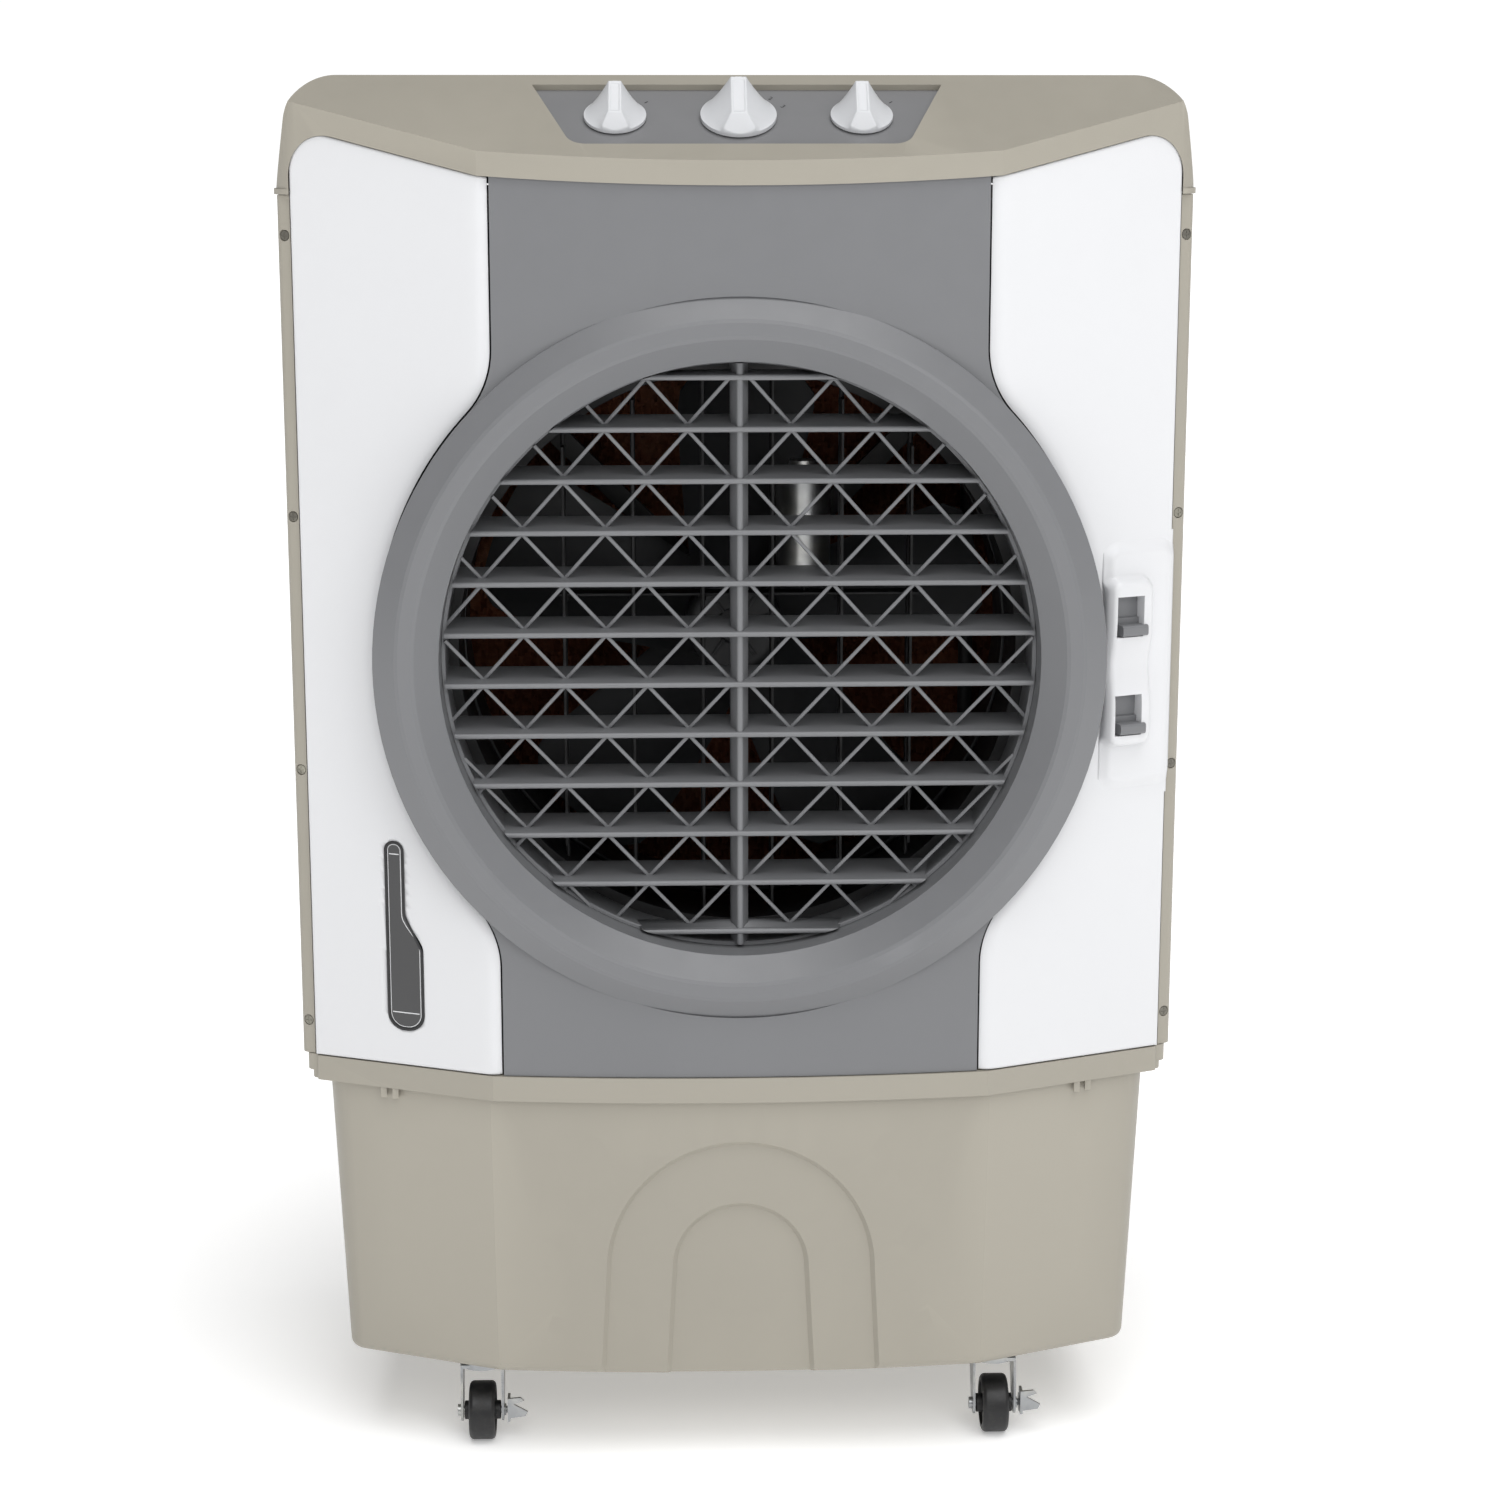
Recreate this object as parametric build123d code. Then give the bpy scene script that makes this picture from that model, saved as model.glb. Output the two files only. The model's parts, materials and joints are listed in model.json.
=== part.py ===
from build123d import *
import math
import os

# Evaporative cooler. Millimetres, +Z up, front faces -Y, origin under the centre of the object on the floor.

# ---- overall heights -------------------------------------------------------------------------------
TOTAL_HEIGHT = 1150.0
TANK_BOTTOM = 78.0
WAIST_BOTTOM = 325.0
WAIST_TOP = 346.0
WAIST_HALF = 362.5
WAIST_BAND_HALF = 354.0
SIDE_TOP = 1056.5
LIP_BOTTOM = 1057.0
LIP_STEP = 2.0
RING_Z = 689.0

# ---- plan outline: a shallow bowed centre and two facets that run back to the sides ------------------
CREASE_X = 204.0
BOW_DEPTH = 12.0
FACET_SLOPE = 0.418
FACET_ANGLE = math.degrees(math.atan(FACET_SLOPE))
PANEL_Y = -209.0
BAND_Y = -212.0
BACK_Y = 217.0
REAR_Y = 220.0
CAP_HALF = 368.0
SIDE_HALF = 366.5
WHITE_HALF = 355.0
SEAM_HALF = 195.5
WALL = 3.0

# ---- sloped top --------------------------------------------------------------------------------------
ROOF_FRONT_Z = 1085.0
ROOF_TOP_Y = -103.0
BAND_HEIGHT = 19.0
ROOF_RISE = (TOTAL_HEIGHT - ROOF_FRONT_Z) / (ROOF_TOP_Y - BAND_Y)
ROOF_ANGLE = math.degrees(math.atan(ROOF_RISE))
SHOULDER_X = 353.5
SHOULDER_RADIUS = 40.0
PANEL_CORNER_RADIUS = 36.0

# ---- outlet ring and grille --------------------------------------------------------------------------
CREST_Y = -220.0
MOUTH_Y = -202.0
MOUTH_RADIUS = 241.0
CREST_INNER = 261.0
CREST_OUTER = 274.0
RING_OUTER = 294.0
SEAM_FILLET = 74.0
SEAM_GAP = 0.7
DUCT_END_Y = -128.0
LOUVRE_COUNT = 12
LOUVRE_PITCH = 41.2
LOUVRE_FRONT_Y = -182.0
LOUVRE_CHORD = 50.0
LOUVRE_END_CHORD = 26.0
LOUVRE_THICK = 3.4
LOUVRE_TILT = 8.0
GRILLE_RIM = 240.6
LATTICE_HALF_PITCH = 33.2
LATTICE_FIRST = 8.1
LATTICE_WIRE = 3.0
POST_WIDTH = 14.0

# ---- swing vanes -------------------------------------------------------------------------------------
VANE_XS = [-142.5, -85.5, -28.5, 28.5, 85.5, 142.5]
VANE_Y = -104.0
VANE_CHORD = 44.0
VANE_THICK = 2.0
CARRIER_INNER = 229.0
CARRIER_OUTER = 236.0
PIN_RADIUS = 2.0
PIN_FIT = 0.06
LINK_ARM = 25.0
LINK_Z = 727.0
SWING_MOTOR_LENGTH = 86.0
SWING_MOTOR_RADIUS = 23.0
CRANK_X = 57.0
CRANK_Y = VANE_Y + 2 * LINK_ARM

# ---- fan ---------------------------------------------------------------------------------------------
FAN_RADIUS = 221.0
FAN_Y = 6.0
FAN_HUB_RADIUS = 42.0
FAN_BLADES = 5
FAN_PITCH = 33.0
SHAFT_RADIUS = 5.0
MOTOR_FRONT_Y = 62.0
MOTOR_LENGTH = 78.0
MOTOR_RADIUS = 56.0
SHROUD_Y = 4.0
SHROUD_RADIUS = 229.0
DUCT_HALF = 34.0
BLADE_WIDTH = 112.0
BLADE_THICK = 3.0
BLADE_ROOT = 36.0

# ---- pads and their frames ---------------------------------------------------------------------------
PAD_LOW_Z = 366.0
PAD_HIGH_Z = 1020.0
SIDE_PAD_FRONT_Y = -88.0
SIDE_PAD_BACK_Y = 152.0
REAR_PAD_HALF = 288.0
PAD_THICK = 30.0
REAR_PAD_Y = 172.0
TROUGH_HEIGHT = 22.0
HOSE_RADIUS = 6.5

# ---- tank --------------------------------------------------------------------------------------------
TANK_BASE_HALF = 334.0
TANK_BASE_FRONT = -192.0
TANK_BASE_BACK = 194.0
TANK_DRAFT = 2.55
TANK_WALL = 4.0
TANK_BASE_RADIUS = 8.0
ARCH_SPECS = [(117.0, 289.0, 4.0), (63.0, 237.0, 8.0)]

# ---- controls ----------------------------------------------------------------------------------------
CONTROL_LOW = 24.0
CONTROL_HIGH = 112.0
CONTROL_LOW_HALF = 131.0
CONTROL_HIGH_HALF = 163.0
CONTROL_DEPTH = 5.0
KNOB_SLOPE_PLACE = 69.0
KNOBS = [("cool_knob", -97.0, 24.5), ("speed_knob", 0.0, 30.0), ("swing_knob", 97.0, 24.5)]

# ---- tab housing on the right panel, side fixings, tank fittings --------------------------------------
TAB_PLACE_X = 326.5
TAB_WINDOW_X = -12.5
TAB_BAR_SHIFT = 3.0
TAB_WINDOW_ZS = [638.5, 720.0]
TAB_WINDOW = (25.0, 33.5)
SIDE_SCREW_X = 361.0
SCREW_ZS = [375.0, 590.0, 800.0, 1025.0]
SCREW_RADIUS = 3.8
DIMPLE_RADIUS = 4.6
REAR_SCREW_ZS = [365.0, 700.0, 1040.0]
FILL_Y = (-60.0, 60.0)
FILL_Z = (352.0, 398.0)
GLAND_X = -322.0
GLAND_Z = 400.0
DRAIN_X = 120.0
DRAIN_Z = 118.0
DRAIN_RADIUS = 19.0
PUMP_X = 215.0
PUMP_Y = 130.0

# ---- level window -------------------------------------------------------------------------------------
WINDOW_LEFT = -291.5
WINDOW_NARROW = 16.5
WINDOW_WIDE = 31.0
WINDOW_FOOT = 377.0
WINDOW_HEAD = 537.5
FLOAT_ROD = (-273.0, -134.0)
BALL_Z = 397.0
BALL_Y = -156.0
FLOAT_Y = -98.0
FLOAT_FOOT = 96.0
FLOAT_TOP = 128.0

# ---- casters -----------------------------------------------------------------------------------------
CASTER_X = 221.0
CASTER_YS = [-122.0, 140.0]
CASTER_TRAIL = -14.0
WHEEL_RADIUS = 25.0
WHEEL_WIDTH = 22.5
PLATE_TOP = TANK_BOTTOM
STEM_RADIUS = 4.0
AXLE_RADIUS = 3.0
CHEEK_IN = 16.5
CHEEK_OUT = 18.5


# ---- drawing helpers ---------------------------------------------------------------------------------
def closed(*points):
    return make_face(Polyline(*points, close=True).edges())


def prism_x(sketch, low, high):
    return extrude(Pos(low, 0, 0) * (Plane.YZ * sketch), amount=high - low)


def prism_y(sketch, low, high):
    return extrude(Pos(0, high, 0) * (Plane.XZ * sketch), amount=high - low)


def prism_z(sketch, low, high):
    return extrude(Pos(0, 0, low) * sketch, amount=high - low)


def block(x, y, z):
    """A box from its low and high limits along each axis."""
    size = (x[1] - x[0], y[1] - y[0], z[1] - z[0])
    centre = ((x[0] + x[1]) / 2, (y[0] + y[1]) / 2, (z[0] + z[1]) / 2)
    return Pos(*centre) * Box(*size)


def rod_z(x, y, low, high, radius):
    return Pos(x, y, (low + high) / 2) * Cylinder(radius, high - low)


def rod_y(x, z, low, high, radius):
    return Pos(x, (low + high) / 2, z) * Rot(90, 0, 0) * Cylinder(radius, high - low)


def rod_x(y, z, low, high, radius):
    return Pos((low + high) / 2, y, z) * Rot(0, 90, 0) * Cylinder(radius, high - low)


def turned(*points):
    """A ring about the outlet axis from (radius, y) points."""
    return Pos(0, 0, RING_Z) * revolve(closed(*points), Axis.Y)


def ring_y(inner, outer, low, high):
    return turned((inner, low), (outer, low), (outer, high), (inner, high))


def joined(pieces):
    whole = pieces[0]
    for piece in pieces[1:]:
        whole = whole + piece
    return whole


def facet_y(x, front_y=PANEL_Y):
    return front_y + BOW_DEPTH + (abs(x) - CREASE_X) * FACET_SLOPE


def on_facet(x, z, front_y=PANEL_Y):
    """A place on the side facet whose +Z points out of the facet."""
    side = math.copysign(1, x)
    return Pos(x, facet_y(x, front_y), z) * Rot(0, 0, side * FACET_ANGLE) * Rot(90, 0, 0)


def plan_face(half, front_y, back_y, front_corner=9.0, back_corner=25.0):
    crease_y = front_y + BOW_DEPTH
    corner_y = crease_y + (half - CREASE_X) * FACET_SLOPE
    bow = ThreePointArc((-CREASE_X, crease_y), (0, front_y), (CREASE_X, crease_y))
    sides = Polyline(
        (CREASE_X, crease_y),
        (half, corner_y),
        (half, back_y),
        (-half, back_y),
        (-half, corner_y),
        (-CREASE_X, crease_y),
    )
    face = make_face([*bow.edges(), *sides.edges()])
    if front_corner:
        front = [v for v in face.vertices() if abs(v.X) > half - 1 and v.Y < 0]
        face = fillet(front, front_corner)
    if back_corner:
        back = [v for v in face.vertices() if abs(v.X) > half - 1 and v.Y > back_y - 1]
        face = fillet(back, back_corner)
    return face


def plan_solid(half, front_y, back_y, low, high, front_corner=9.0, back_corner=25.0):
    return prism_z(plan_face(half, front_y, back_y, front_corner, back_corner), low, high)


def under_roof(drop, back_y=BACK_Y, back_radius=22.0):
    """Everything below the sloped front of the roof and its flat top, lowered by drop."""
    front = BAND_Y - 60
    side = closed(
        (front, 0),
        (front, ROOF_FRONT_Z - drop - 60 * ROOF_RISE),
        (ROOF_TOP_Y, TOTAL_HEIGHT - drop),
        (back_y, TOTAL_HEIGHT - drop),
        (back_y, 0),
    )
    rear_top = [v for v in side.vertices() if v.X > back_y - 1 and v.Y > 500]
    side = fillet(rear_top, back_radius)
    return prism_x(side, -400, 400)


def under_shoulders(inset):
    """The rounded, slightly leaning shoulders of the cap, seen from the front."""
    lean = (CAP_HALF - SHOULDER_X) / (TOTAL_HEIGHT - LIP_BOTTOM)
    top = TOTAL_HEIGHT - inset
    top_x = SHOULDER_X - inset * (1 - lean)
    foot_x = top_x + lean * top
    front = closed((-foot_x, 0), (foot_x, 0), (top_x, top), (-top_x, top))
    corners = [v for v in front.vertices() if v.Y > 500]
    front = fillet(corners, SHOULDER_RADIUS - inset)
    return prism_y(front, -260, 260)


def seam_face(grow):
    """The outline of the gray front panel: a straight strip that swells round the outlet ring."""
    strip = Pos(0, RING_Z) * Rectangle(2 * (SEAM_HALF + grow), 1000)
    face = strip + Circle(RING_OUTER + grow).moved(Location((0, RING_Z)))
    meets = [v for v in face.vertices() if abs(abs(v.Y - RING_Z)) < 300]
    return fillet(meets, SEAM_FILLET - grow)


def roof_place(x, along, out=0.0):
    """A place on the sloped roof: along runs up the slope, out leaves it."""
    slope = Plane(
        origin=(0, BAND_Y, ROOF_FRONT_Z),
        x_dir=(1, 0, 0),
        z_dir=(0, -math.sin(math.radians(ROOF_ANGLE)), math.cos(math.radians(ROOF_ANGLE))),
    )
    return slope.location * Pos(x, along, out)


# ---- housing -----------------------------------------------------------------------------------------
def cap_envelope(inset):
    plan = plan_solid(
        CAP_HALF - inset, BAND_Y + inset, BACK_Y - inset, LIP_BOTTOM, TOTAL_HEIGHT + 5, 30.0 - inset
    )
    return plan & under_roof(inset, BACK_Y - inset) & under_shoulders(inset)


def panel_zone(half, drop):
    """The front space that holds the white and gray panels, below the cap's band."""
    zone = block((-half, half), (-260, -100), (340, 1200)) & under_roof(drop)
    slanted = [
        e
        for e in zone.edges()
        if abs(abs(e.center().X) - half) < 0.1 and abs(e.tangent_at(0.5).Y * e.tangent_at(0.5).Z) > 0.1
    ]
    return fillet(slanted, PANEL_CORNER_RADIUS)


def control_face(grow):
    face = closed(
        (-CONTROL_LOW_HALF - grow, CONTROL_LOW - grow),
        (CONTROL_LOW_HALF + grow, CONTROL_LOW - grow),
        (CONTROL_HIGH_HALF + grow, CONTROL_HIGH + grow),
        (-CONTROL_HIGH_HALF - grow, CONTROL_HIGH + grow),
    )
    low = [v for v in face.vertices() if v.Y < 50]
    return fillet(low, 16.0 + grow)


def top_cover():
    cap = cap_envelope(0) - cap_envelope(WALL)
    lip = plan_solid(CAP_HALF + LIP_STEP, BAND_Y, BACK_Y, LIP_BOTTOM, LIP_BOTTOM + 4.5, 30.0)
    lip = lip - plan_solid(CAP_HALF - 2, BAND_Y + 2, BACK_Y - 2, LIP_BOTTOM - 1, LIP_BOTTOM + 6, 28.0)
    cap = cap + lip - panel_zone(WHITE_HALF + 0.8, BAND_HEIGHT)
    hole = extrude(roof_place(0, 0, 5) * control_face(0), amount=-20)
    well = extrude(roof_place(0, 0, -1.5) * control_face(2.5), amount=-CONTROL_DEPTH - 1.5)
    well = well - extrude(roof_place(0, 0, 0) * control_face(0), amount=-20)
    return cap - hole + well


def control_panel():
    plate = extrude(roof_place(0, 0, -CONTROL_DEPTH) * control_face(-0.3), amount=-2.5)
    for _, x, _ in KNOBS:
        plate = plate - roof_place(x, KNOB_SLOPE_PLACE, -6) * Cylinder(3.6, 10)
    return plate


def knob(x, radius):
    """A selector knob: a hollowed conical skirt and a finger ridge whose top slopes towards the user."""
    low = -CONTROL_DEPTH + 0.6
    tall = radius * 0.98
    skirt = make_face(
        [
            *Polyline((0, tall - 2), (0, 0), (radius, 0), (radius, 3.0)).edges(),
            *ThreePointArc((radius, 3.0), (radius * 0.56, tall * 0.42), (radius * 0.25, tall - 2)).edges(),
            *Line((radius * 0.25, tall - 2), (0, tall - 2)).edges(),
        ]
    )
    body = revolve(Plane.XZ * skirt, Axis.Z)
    ridge = closed(
        (-radius * 0.95, 2),
        (radius * 0.95, 2),
        (radius * 0.86, tall * 0.3),
        (radius * 0.58, tall),
        (-radius * 0.64, tall * 0.62),
    )
    body = body + prism_x(ridge, -radius * 0.22, radius * 0.22)
    shaft = Pos(0, 0, -9) * Cylinder(3.0, 18)
    return roof_place(x, KNOB_SLOPE_PLACE, low) * (body + shaft)


def selector_switches():
    switches = []
    for _, x, _ in KNOBS:
        body = roof_place(x, KNOB_SLOPE_PLACE, -20) * Box(34, 34, 24)
        switches.append(body - roof_place(x, KNOB_SLOPE_PLACE, -20) * Cylinder(3.06, 40))
    return switches


def panel_shell(front_y=PANEL_Y):
    outer = plan_solid(WHITE_HALF, front_y, 0, WAIST_TOP + 0.5, 1190, 0, 0)
    inner = plan_solid(WHITE_HALF - WALL, front_y + WALL, 50, WAIST_TOP, 1191, 0, 0)
    shell = (outer - inner) & block((-400, 400), (-260, -118), (300, 1200))
    return shell & panel_zone(WHITE_HALF, BAND_HEIGHT + 0.8)


def front_panel():
    plate = panel_shell() & prism_y(seam_face(-SEAM_GAP), -260, -90)
    plate = plate - rod_y(0, RING_Z, -300, 0, RING_OUTER - 2.0)
    ring = turned(
        (MOUTH_RADIUS, MOUTH_Y),
        (CREST_INNER - 1.5, CREST_Y + 1.2),
        (CREST_INNER + 1.5, CREST_Y),
        (CREST_OUTER - 1.5, CREST_Y),
        (CREST_OUTER + 1.5, CREST_Y + 0.9),
        (RING_OUTER - SEAM_GAP, -206.0),
        (RING_OUTER - SEAM_GAP, -146.0),
        (RING_OUTER - SEAM_GAP - WALL, -146.0),
        (RING_OUTER - SEAM_GAP - WALL, -203.5),
        (CREST_OUTER, CREST_Y + 4),
        (CREST_INNER, CREST_Y + 4),
        (MOUTH_RADIUS + WALL, MOUTH_Y + 2),
        (MOUTH_RADIUS + WALL, DUCT_END_Y),
        (MOUTH_RADIUS, DUCT_END_Y),
    )
    return plate + ring


def white_panel(side):
    across = (0, 400) if side > 0 else (-400, 0)
    half = block(across, (-260, 0), (300, 1200))
    panel = panel_shell(PANEL_Y - 1.5) & half
    panel = panel - prism_y(seam_face(SEAM_GAP), -260, 0)
    if side < 0:
        panel = panel - prism_y(window_face(0.2), -260, 0)
    return panel


def window_face(grow):
    """The outline of the level window: narrow at the top, flaring to a wide foot."""
    face = closed(
        (WINDOW_LEFT - grow, WINDOW_FOOT - grow),
        (WINDOW_LEFT - grow, WINDOW_HEAD + grow),
        (WINDOW_LEFT + WINDOW_NARROW + grow, WINDOW_HEAD + grow),
        (WINDOW_LEFT + WINDOW_NARROW + grow, 476),
        (WINDOW_LEFT + WINDOW_WIDE + grow, 446),
        (WINDOW_LEFT + WINDOW_WIDE + grow, WINDOW_FOOT - grow),
    )
    top = [v for v in face.vertices() if v.Y > 520]
    face = fillet(top, WINDOW_NARROW / 2 - 0.3 + grow)
    foot = [v for v in face.vertices() if v.Y < 390]
    face = fillet(foot, WINDOW_WIDE / 2 - 1.5 + grow)
    flare = [v for v in face.vertices() if 440 < v.Y < 480]
    return fillet(flare, 9.0)


def level_layer(sketch, front, back):
    outer = plan_solid(WHITE_HALF, PANEL_Y + front, 0, 350, 560, 0, 0)
    inner = plan_solid(WHITE_HALF + 20, PANEL_Y + back, 50, 340, 570, 0, 0)
    return prism_y(sketch, -260, -90) & (outer - inner)


def level_window_frame():
    return level_layer(window_face(0) - window_face(-2.2), -2.5, 4.0)


def level_window_glass():
    return level_layer(window_face(-2.4), -1.0, 1.5)


def level_float():
    """The float in the tank, its rod, and the indicator ball behind the window."""
    x, y = FLOAT_ROD
    ball = Pos(x, BALL_Y, BALL_Z) * Sphere(6.0)
    arm = rod_y(x, BALL_Z, BALL_Y, y, 2.0)
    rod = rod_z(x, y, FLOAT_TOP - 2, BALL_Z + 2, 2.0)
    lower_arm = block((x - 3, x + 3), (y - 3, FLOAT_Y + 2), (FLOAT_TOP - 6, FLOAT_TOP))
    float_body = rod_z(x + 2, FLOAT_Y, FLOAT_FOOT, FLOAT_TOP, 23)
    return ball + arm + rod + lower_arm + float_body


def tab_place(z, out=0.0):
    return on_facet(TAB_PLACE_X, 0, PANEL_Y - 1.5) * Pos(TAB_WINDOW_X, z, out)


def tab_housing():
    """A raised cover on the right panel: a thin plate, and a thick bar with two windows."""
    plate = fillet(Rectangle(62, 200).vertices(), 12)
    middle = sum(TAB_WINDOW_ZS) / 2
    cover = tab_place(middle - 2) * extrude(Pos(-TAB_WINDOW_X, 0, 0) * plate, amount=4.5, taper=25)
    bar = Pos(TAB_BAR_SHIFT, 0, 0) * fillet(Rectangle(40, 137).vertices(), 8)
    cover = cover + tab_place(middle + 2) * extrude(bar, amount=16, taper=7)
    cover = cover - tab_place(middle, 35) * Rot(0, 90, 0) * Cylinder(24, 80)
    for z in TAB_WINDOW_ZS:
        cover = cover - tab_place(z, 15) * Box(*TAB_WINDOW, 24)
    return cover


def tab_plates():
    width, height = TAB_WINDOW
    return [tab_place(z, 3.8) * Box(width - 0.6, height - 0.6, 1.4) for z in TAB_WINDOW_ZS]


def thumb_tab(z):
    """A thumb tab: a flat slider with a thick rounded lip at its foot."""
    width, height = TAB_WINDOW
    foot = z - height / 2 + 1.0
    slider = tab_place(foot + 7, 6.0) * Box(width - 1.2, 14, 2.6)
    lip = fillet(Box(width - 1.2, 9.0, 13.0).edges().filter_by(Axis.X), 2.5)
    return slider + tab_place(foot + 4.5, 12.0) * lip


def side_panel(side):
    outer = plan_solid(SIDE_HALF, PANEL_Y + 2.5, BACK_Y, WAIST_TOP + 0.5, SIDE_TOP, 7.0)
    inner = plan_solid(SIDE_HALF - 4, PANEL_Y + 6.5, BACK_Y - 4, WAIST_TOP, SIDE_TOP + 1, 4.0, 21.0)
    shell = outer - inner
    keep = block((WHITE_HALF + 0.8, 400), (-260, 260), (300, 1100))
    keep = keep + block((REAR_PAD_HALF + 16, 400), (100, 260), (300, 1100))
    window = block((300, 400), (SIDE_PAD_FRONT_Y, SIDE_PAD_BACK_Y), (PAD_LOW_Z + 44, PAD_HIGH_Z))
    panel = (shell & keep) - window
    for z in SCREW_ZS:
        panel = panel - on_facet(SIDE_SCREW_X, z, PANEL_Y + 2.5) * Cylinder(DIMPLE_RADIUS, 4)
    if side < 0:
        panel = panel - block((300, 400), FILL_Y, FILL_Z)
        panel = panel - rod_y(-GLAND_X, GLAND_Z, 200, 230, 6.3)
    return panel if side > 0 else panel.mirror(Plane.YZ)


def housing_screws():
    screws = []
    for x in (-REAR_PAD_HALF - 7, REAR_PAD_HALF + 7):
        for z in REAR_SCREW_ZS:
            screws.append(rod_y(x, z, REAR_Y - 1, REAR_Y, SCREW_RADIUS))
    for x in (-SIDE_SCREW_X, SIDE_SCREW_X):
        for z in SCREW_ZS:
            head = Cylinder(SCREW_RADIUS, 1.4) - Pos(0, 0, 0.8) * (Box(5.4, 1.0, 1.0) + Box(1.0, 5.4, 1.0))
            screws.append(on_facet(x, z, PANEL_Y + 2.5) * Pos(0, 0, -1.3) * head)
    return screws


def waist_frame():
    sides = plan_solid(WAIST_HALF, PANEL_Y + 1.5, BACK_Y, WAIST_BOTTOM + 7, WAIST_TOP, 7.0)
    sides = sides + plan_solid(WAIST_HALF - 4, PANEL_Y + 2, BACK_Y, WAIST_BOTTOM, WAIST_TOP, 7.0)
    band = plan_solid(WAIST_BAND_HALF, PANEL_Y - 2, 0, WAIST_BOTTOM, WAIST_TOP, 3.0, 0)
    lower = plan_solid(WAIST_HALF - 8, PANEL_Y + 4, BACK_Y - 5, WAIST_BOTTOM - 1, 335, 6.0, 20.0)
    upper = plan_solid(WAIST_HALF - 8, PANEL_Y + 4, BACK_Y - 5, 338, WAIST_TOP + 1, 6.0, 20.0)
    frame = sides + band - lower - upper
    frame = frame - block((-300, 300), (-120, 150), (330, 345))
    frame = frame - rod_z(*FLOAT_ROD, 330, 345, 4.0)
    for x in (-297, -287, 283, 293):
        y = facet_y(x, PANEL_Y - 1.0)
        frame = frame + block((x - 2.5, x + 2.5), (y, y + 4), (316, 326))
    return frame


# ---- tank --------------------------------------------------------------------------------------------
def tank_body(inset, low, high):
    face = plan_face(
        TANK_BASE_HALF - inset,
        TANK_BASE_FRONT + inset,
        TANK_BASE_BACK - inset,
        18.0 - inset,
        30.0 - inset,
    )
    height = high - TANK_BOTTOM
    body = extrude(Pos(0, 0, TANK_BOTTOM) * face, amount=height, taper=-TANK_DRAFT)
    if low > TANK_BOTTOM:
        body = body & block((-400, 400), (-300, 300), (low, high))
    return body


def arch_prism(radius, top):
    """A tapering prism behind the arch outline, leaning with the front wall."""
    springing = top - radius - TANK_BOTTOM
    foot = radius + 8.0
    face = Circle(radius).moved(Location((0, springing)))
    face = face + closed((-radius, springing), (radius, springing), (foot, -40), (-foot, -40))
    wall = Plane(
        origin=(0, TANK_BASE_FRONT - 1.0, TANK_BOTTOM),
        x_dir=(1, 0, 0),
        z_dir=(0, math.cos(math.radians(TANK_DRAFT)), math.sin(math.radians(TANK_DRAFT))),
    )
    flipped = Plane(origin=wall.origin, x_dir=(-1, 0, 0), z_dir=wall.z_dir)
    return extrude(flipped.location * face, amount=14, taper=45)


def water_tank():
    top = 334.5
    tank = tank_body(0, TANK_BOTTOM, top)
    base = [e for e in tank.edges() if abs(e.center().Z - TANK_BOTTOM) < 0.1]
    tank = fillet(base, TANK_BASE_RADIUS)
    cavity = tank_body(TANK_WALL, TANK_BOTTOM + TANK_WALL, top + 1)
    cavity = cavity - block((-140, 140), (-260, TANK_BASE_FRONT + 14), (0, 310))
    tank = tank - cavity
    for radius, arch_top, depth in ARCH_SPECS:
        skin = tank_body(-1, TANK_BOTTOM, top) - tank_body(depth, TANK_BOTTOM, top)
        tank = tank - (arch_prism(radius, arch_top) & skin)
    return tank - rod_y(DRAIN_X, DRAIN_Z, 150, 260, 14.0)


def drain_cap():
    cap = rod_y(DRAIN_X, DRAIN_Z, 197.0, 208, DRAIN_RADIUS)
    plug = rod_y(DRAIN_X, DRAIN_Z, 186, 200, 13.6)
    grip = block((DRAIN_X - 15, DRAIN_X + 15), (207, 214), (DRAIN_Z - 3, DRAIN_Z + 3))
    return cap + plug + grip


def fill_door():
    """A hinged flap low on the left side, over the filling mouth of the tank."""
    door = block((-SIDE_HALF - 0.5, -SIDE_HALF + 2.5), (-59, 59), (357, 397))
    barrel = rod_y(-SIDE_HALF + 1.0, 355.6, -59, 59, 1.8)
    lip = block((-SIDE_HALF - 1.4, -SIDE_HALF), (-20, 20), (388, 394))
    return door + barrel + lip


# ---- grille ------------------------------------------------------------------------------------------
def louvre(index):
    z = louvre_z(index)
    half = math.sqrt(238.5**2 - (z - RING_Z) ** 2)
    end = index in (0, LOUVRE_COUNT - 1)
    chord = LOUVRE_END_CHORD if end else LOUVRE_CHORD
    profile = Pos(chord / 2, 0) * Rectangle(chord, LOUVRE_THICK)
    nose = Pos(2.2, 0) * Ellipse(2.4, 2.3)
    section = profile + nose
    blade = Pos(0, LOUVRE_FRONT_Y, z) * Rot(LOUVRE_TILT, 0, 0) * prism_x(section, -half, half)
    return blade & rod_y(0, RING_Z, -240, -100, 239.0)


def louvre_z(index):
    return RING_Z + (LOUVRE_COUNT - 1) / 2 * LOUVRE_PITCH - index * LOUVRE_PITCH


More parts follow.
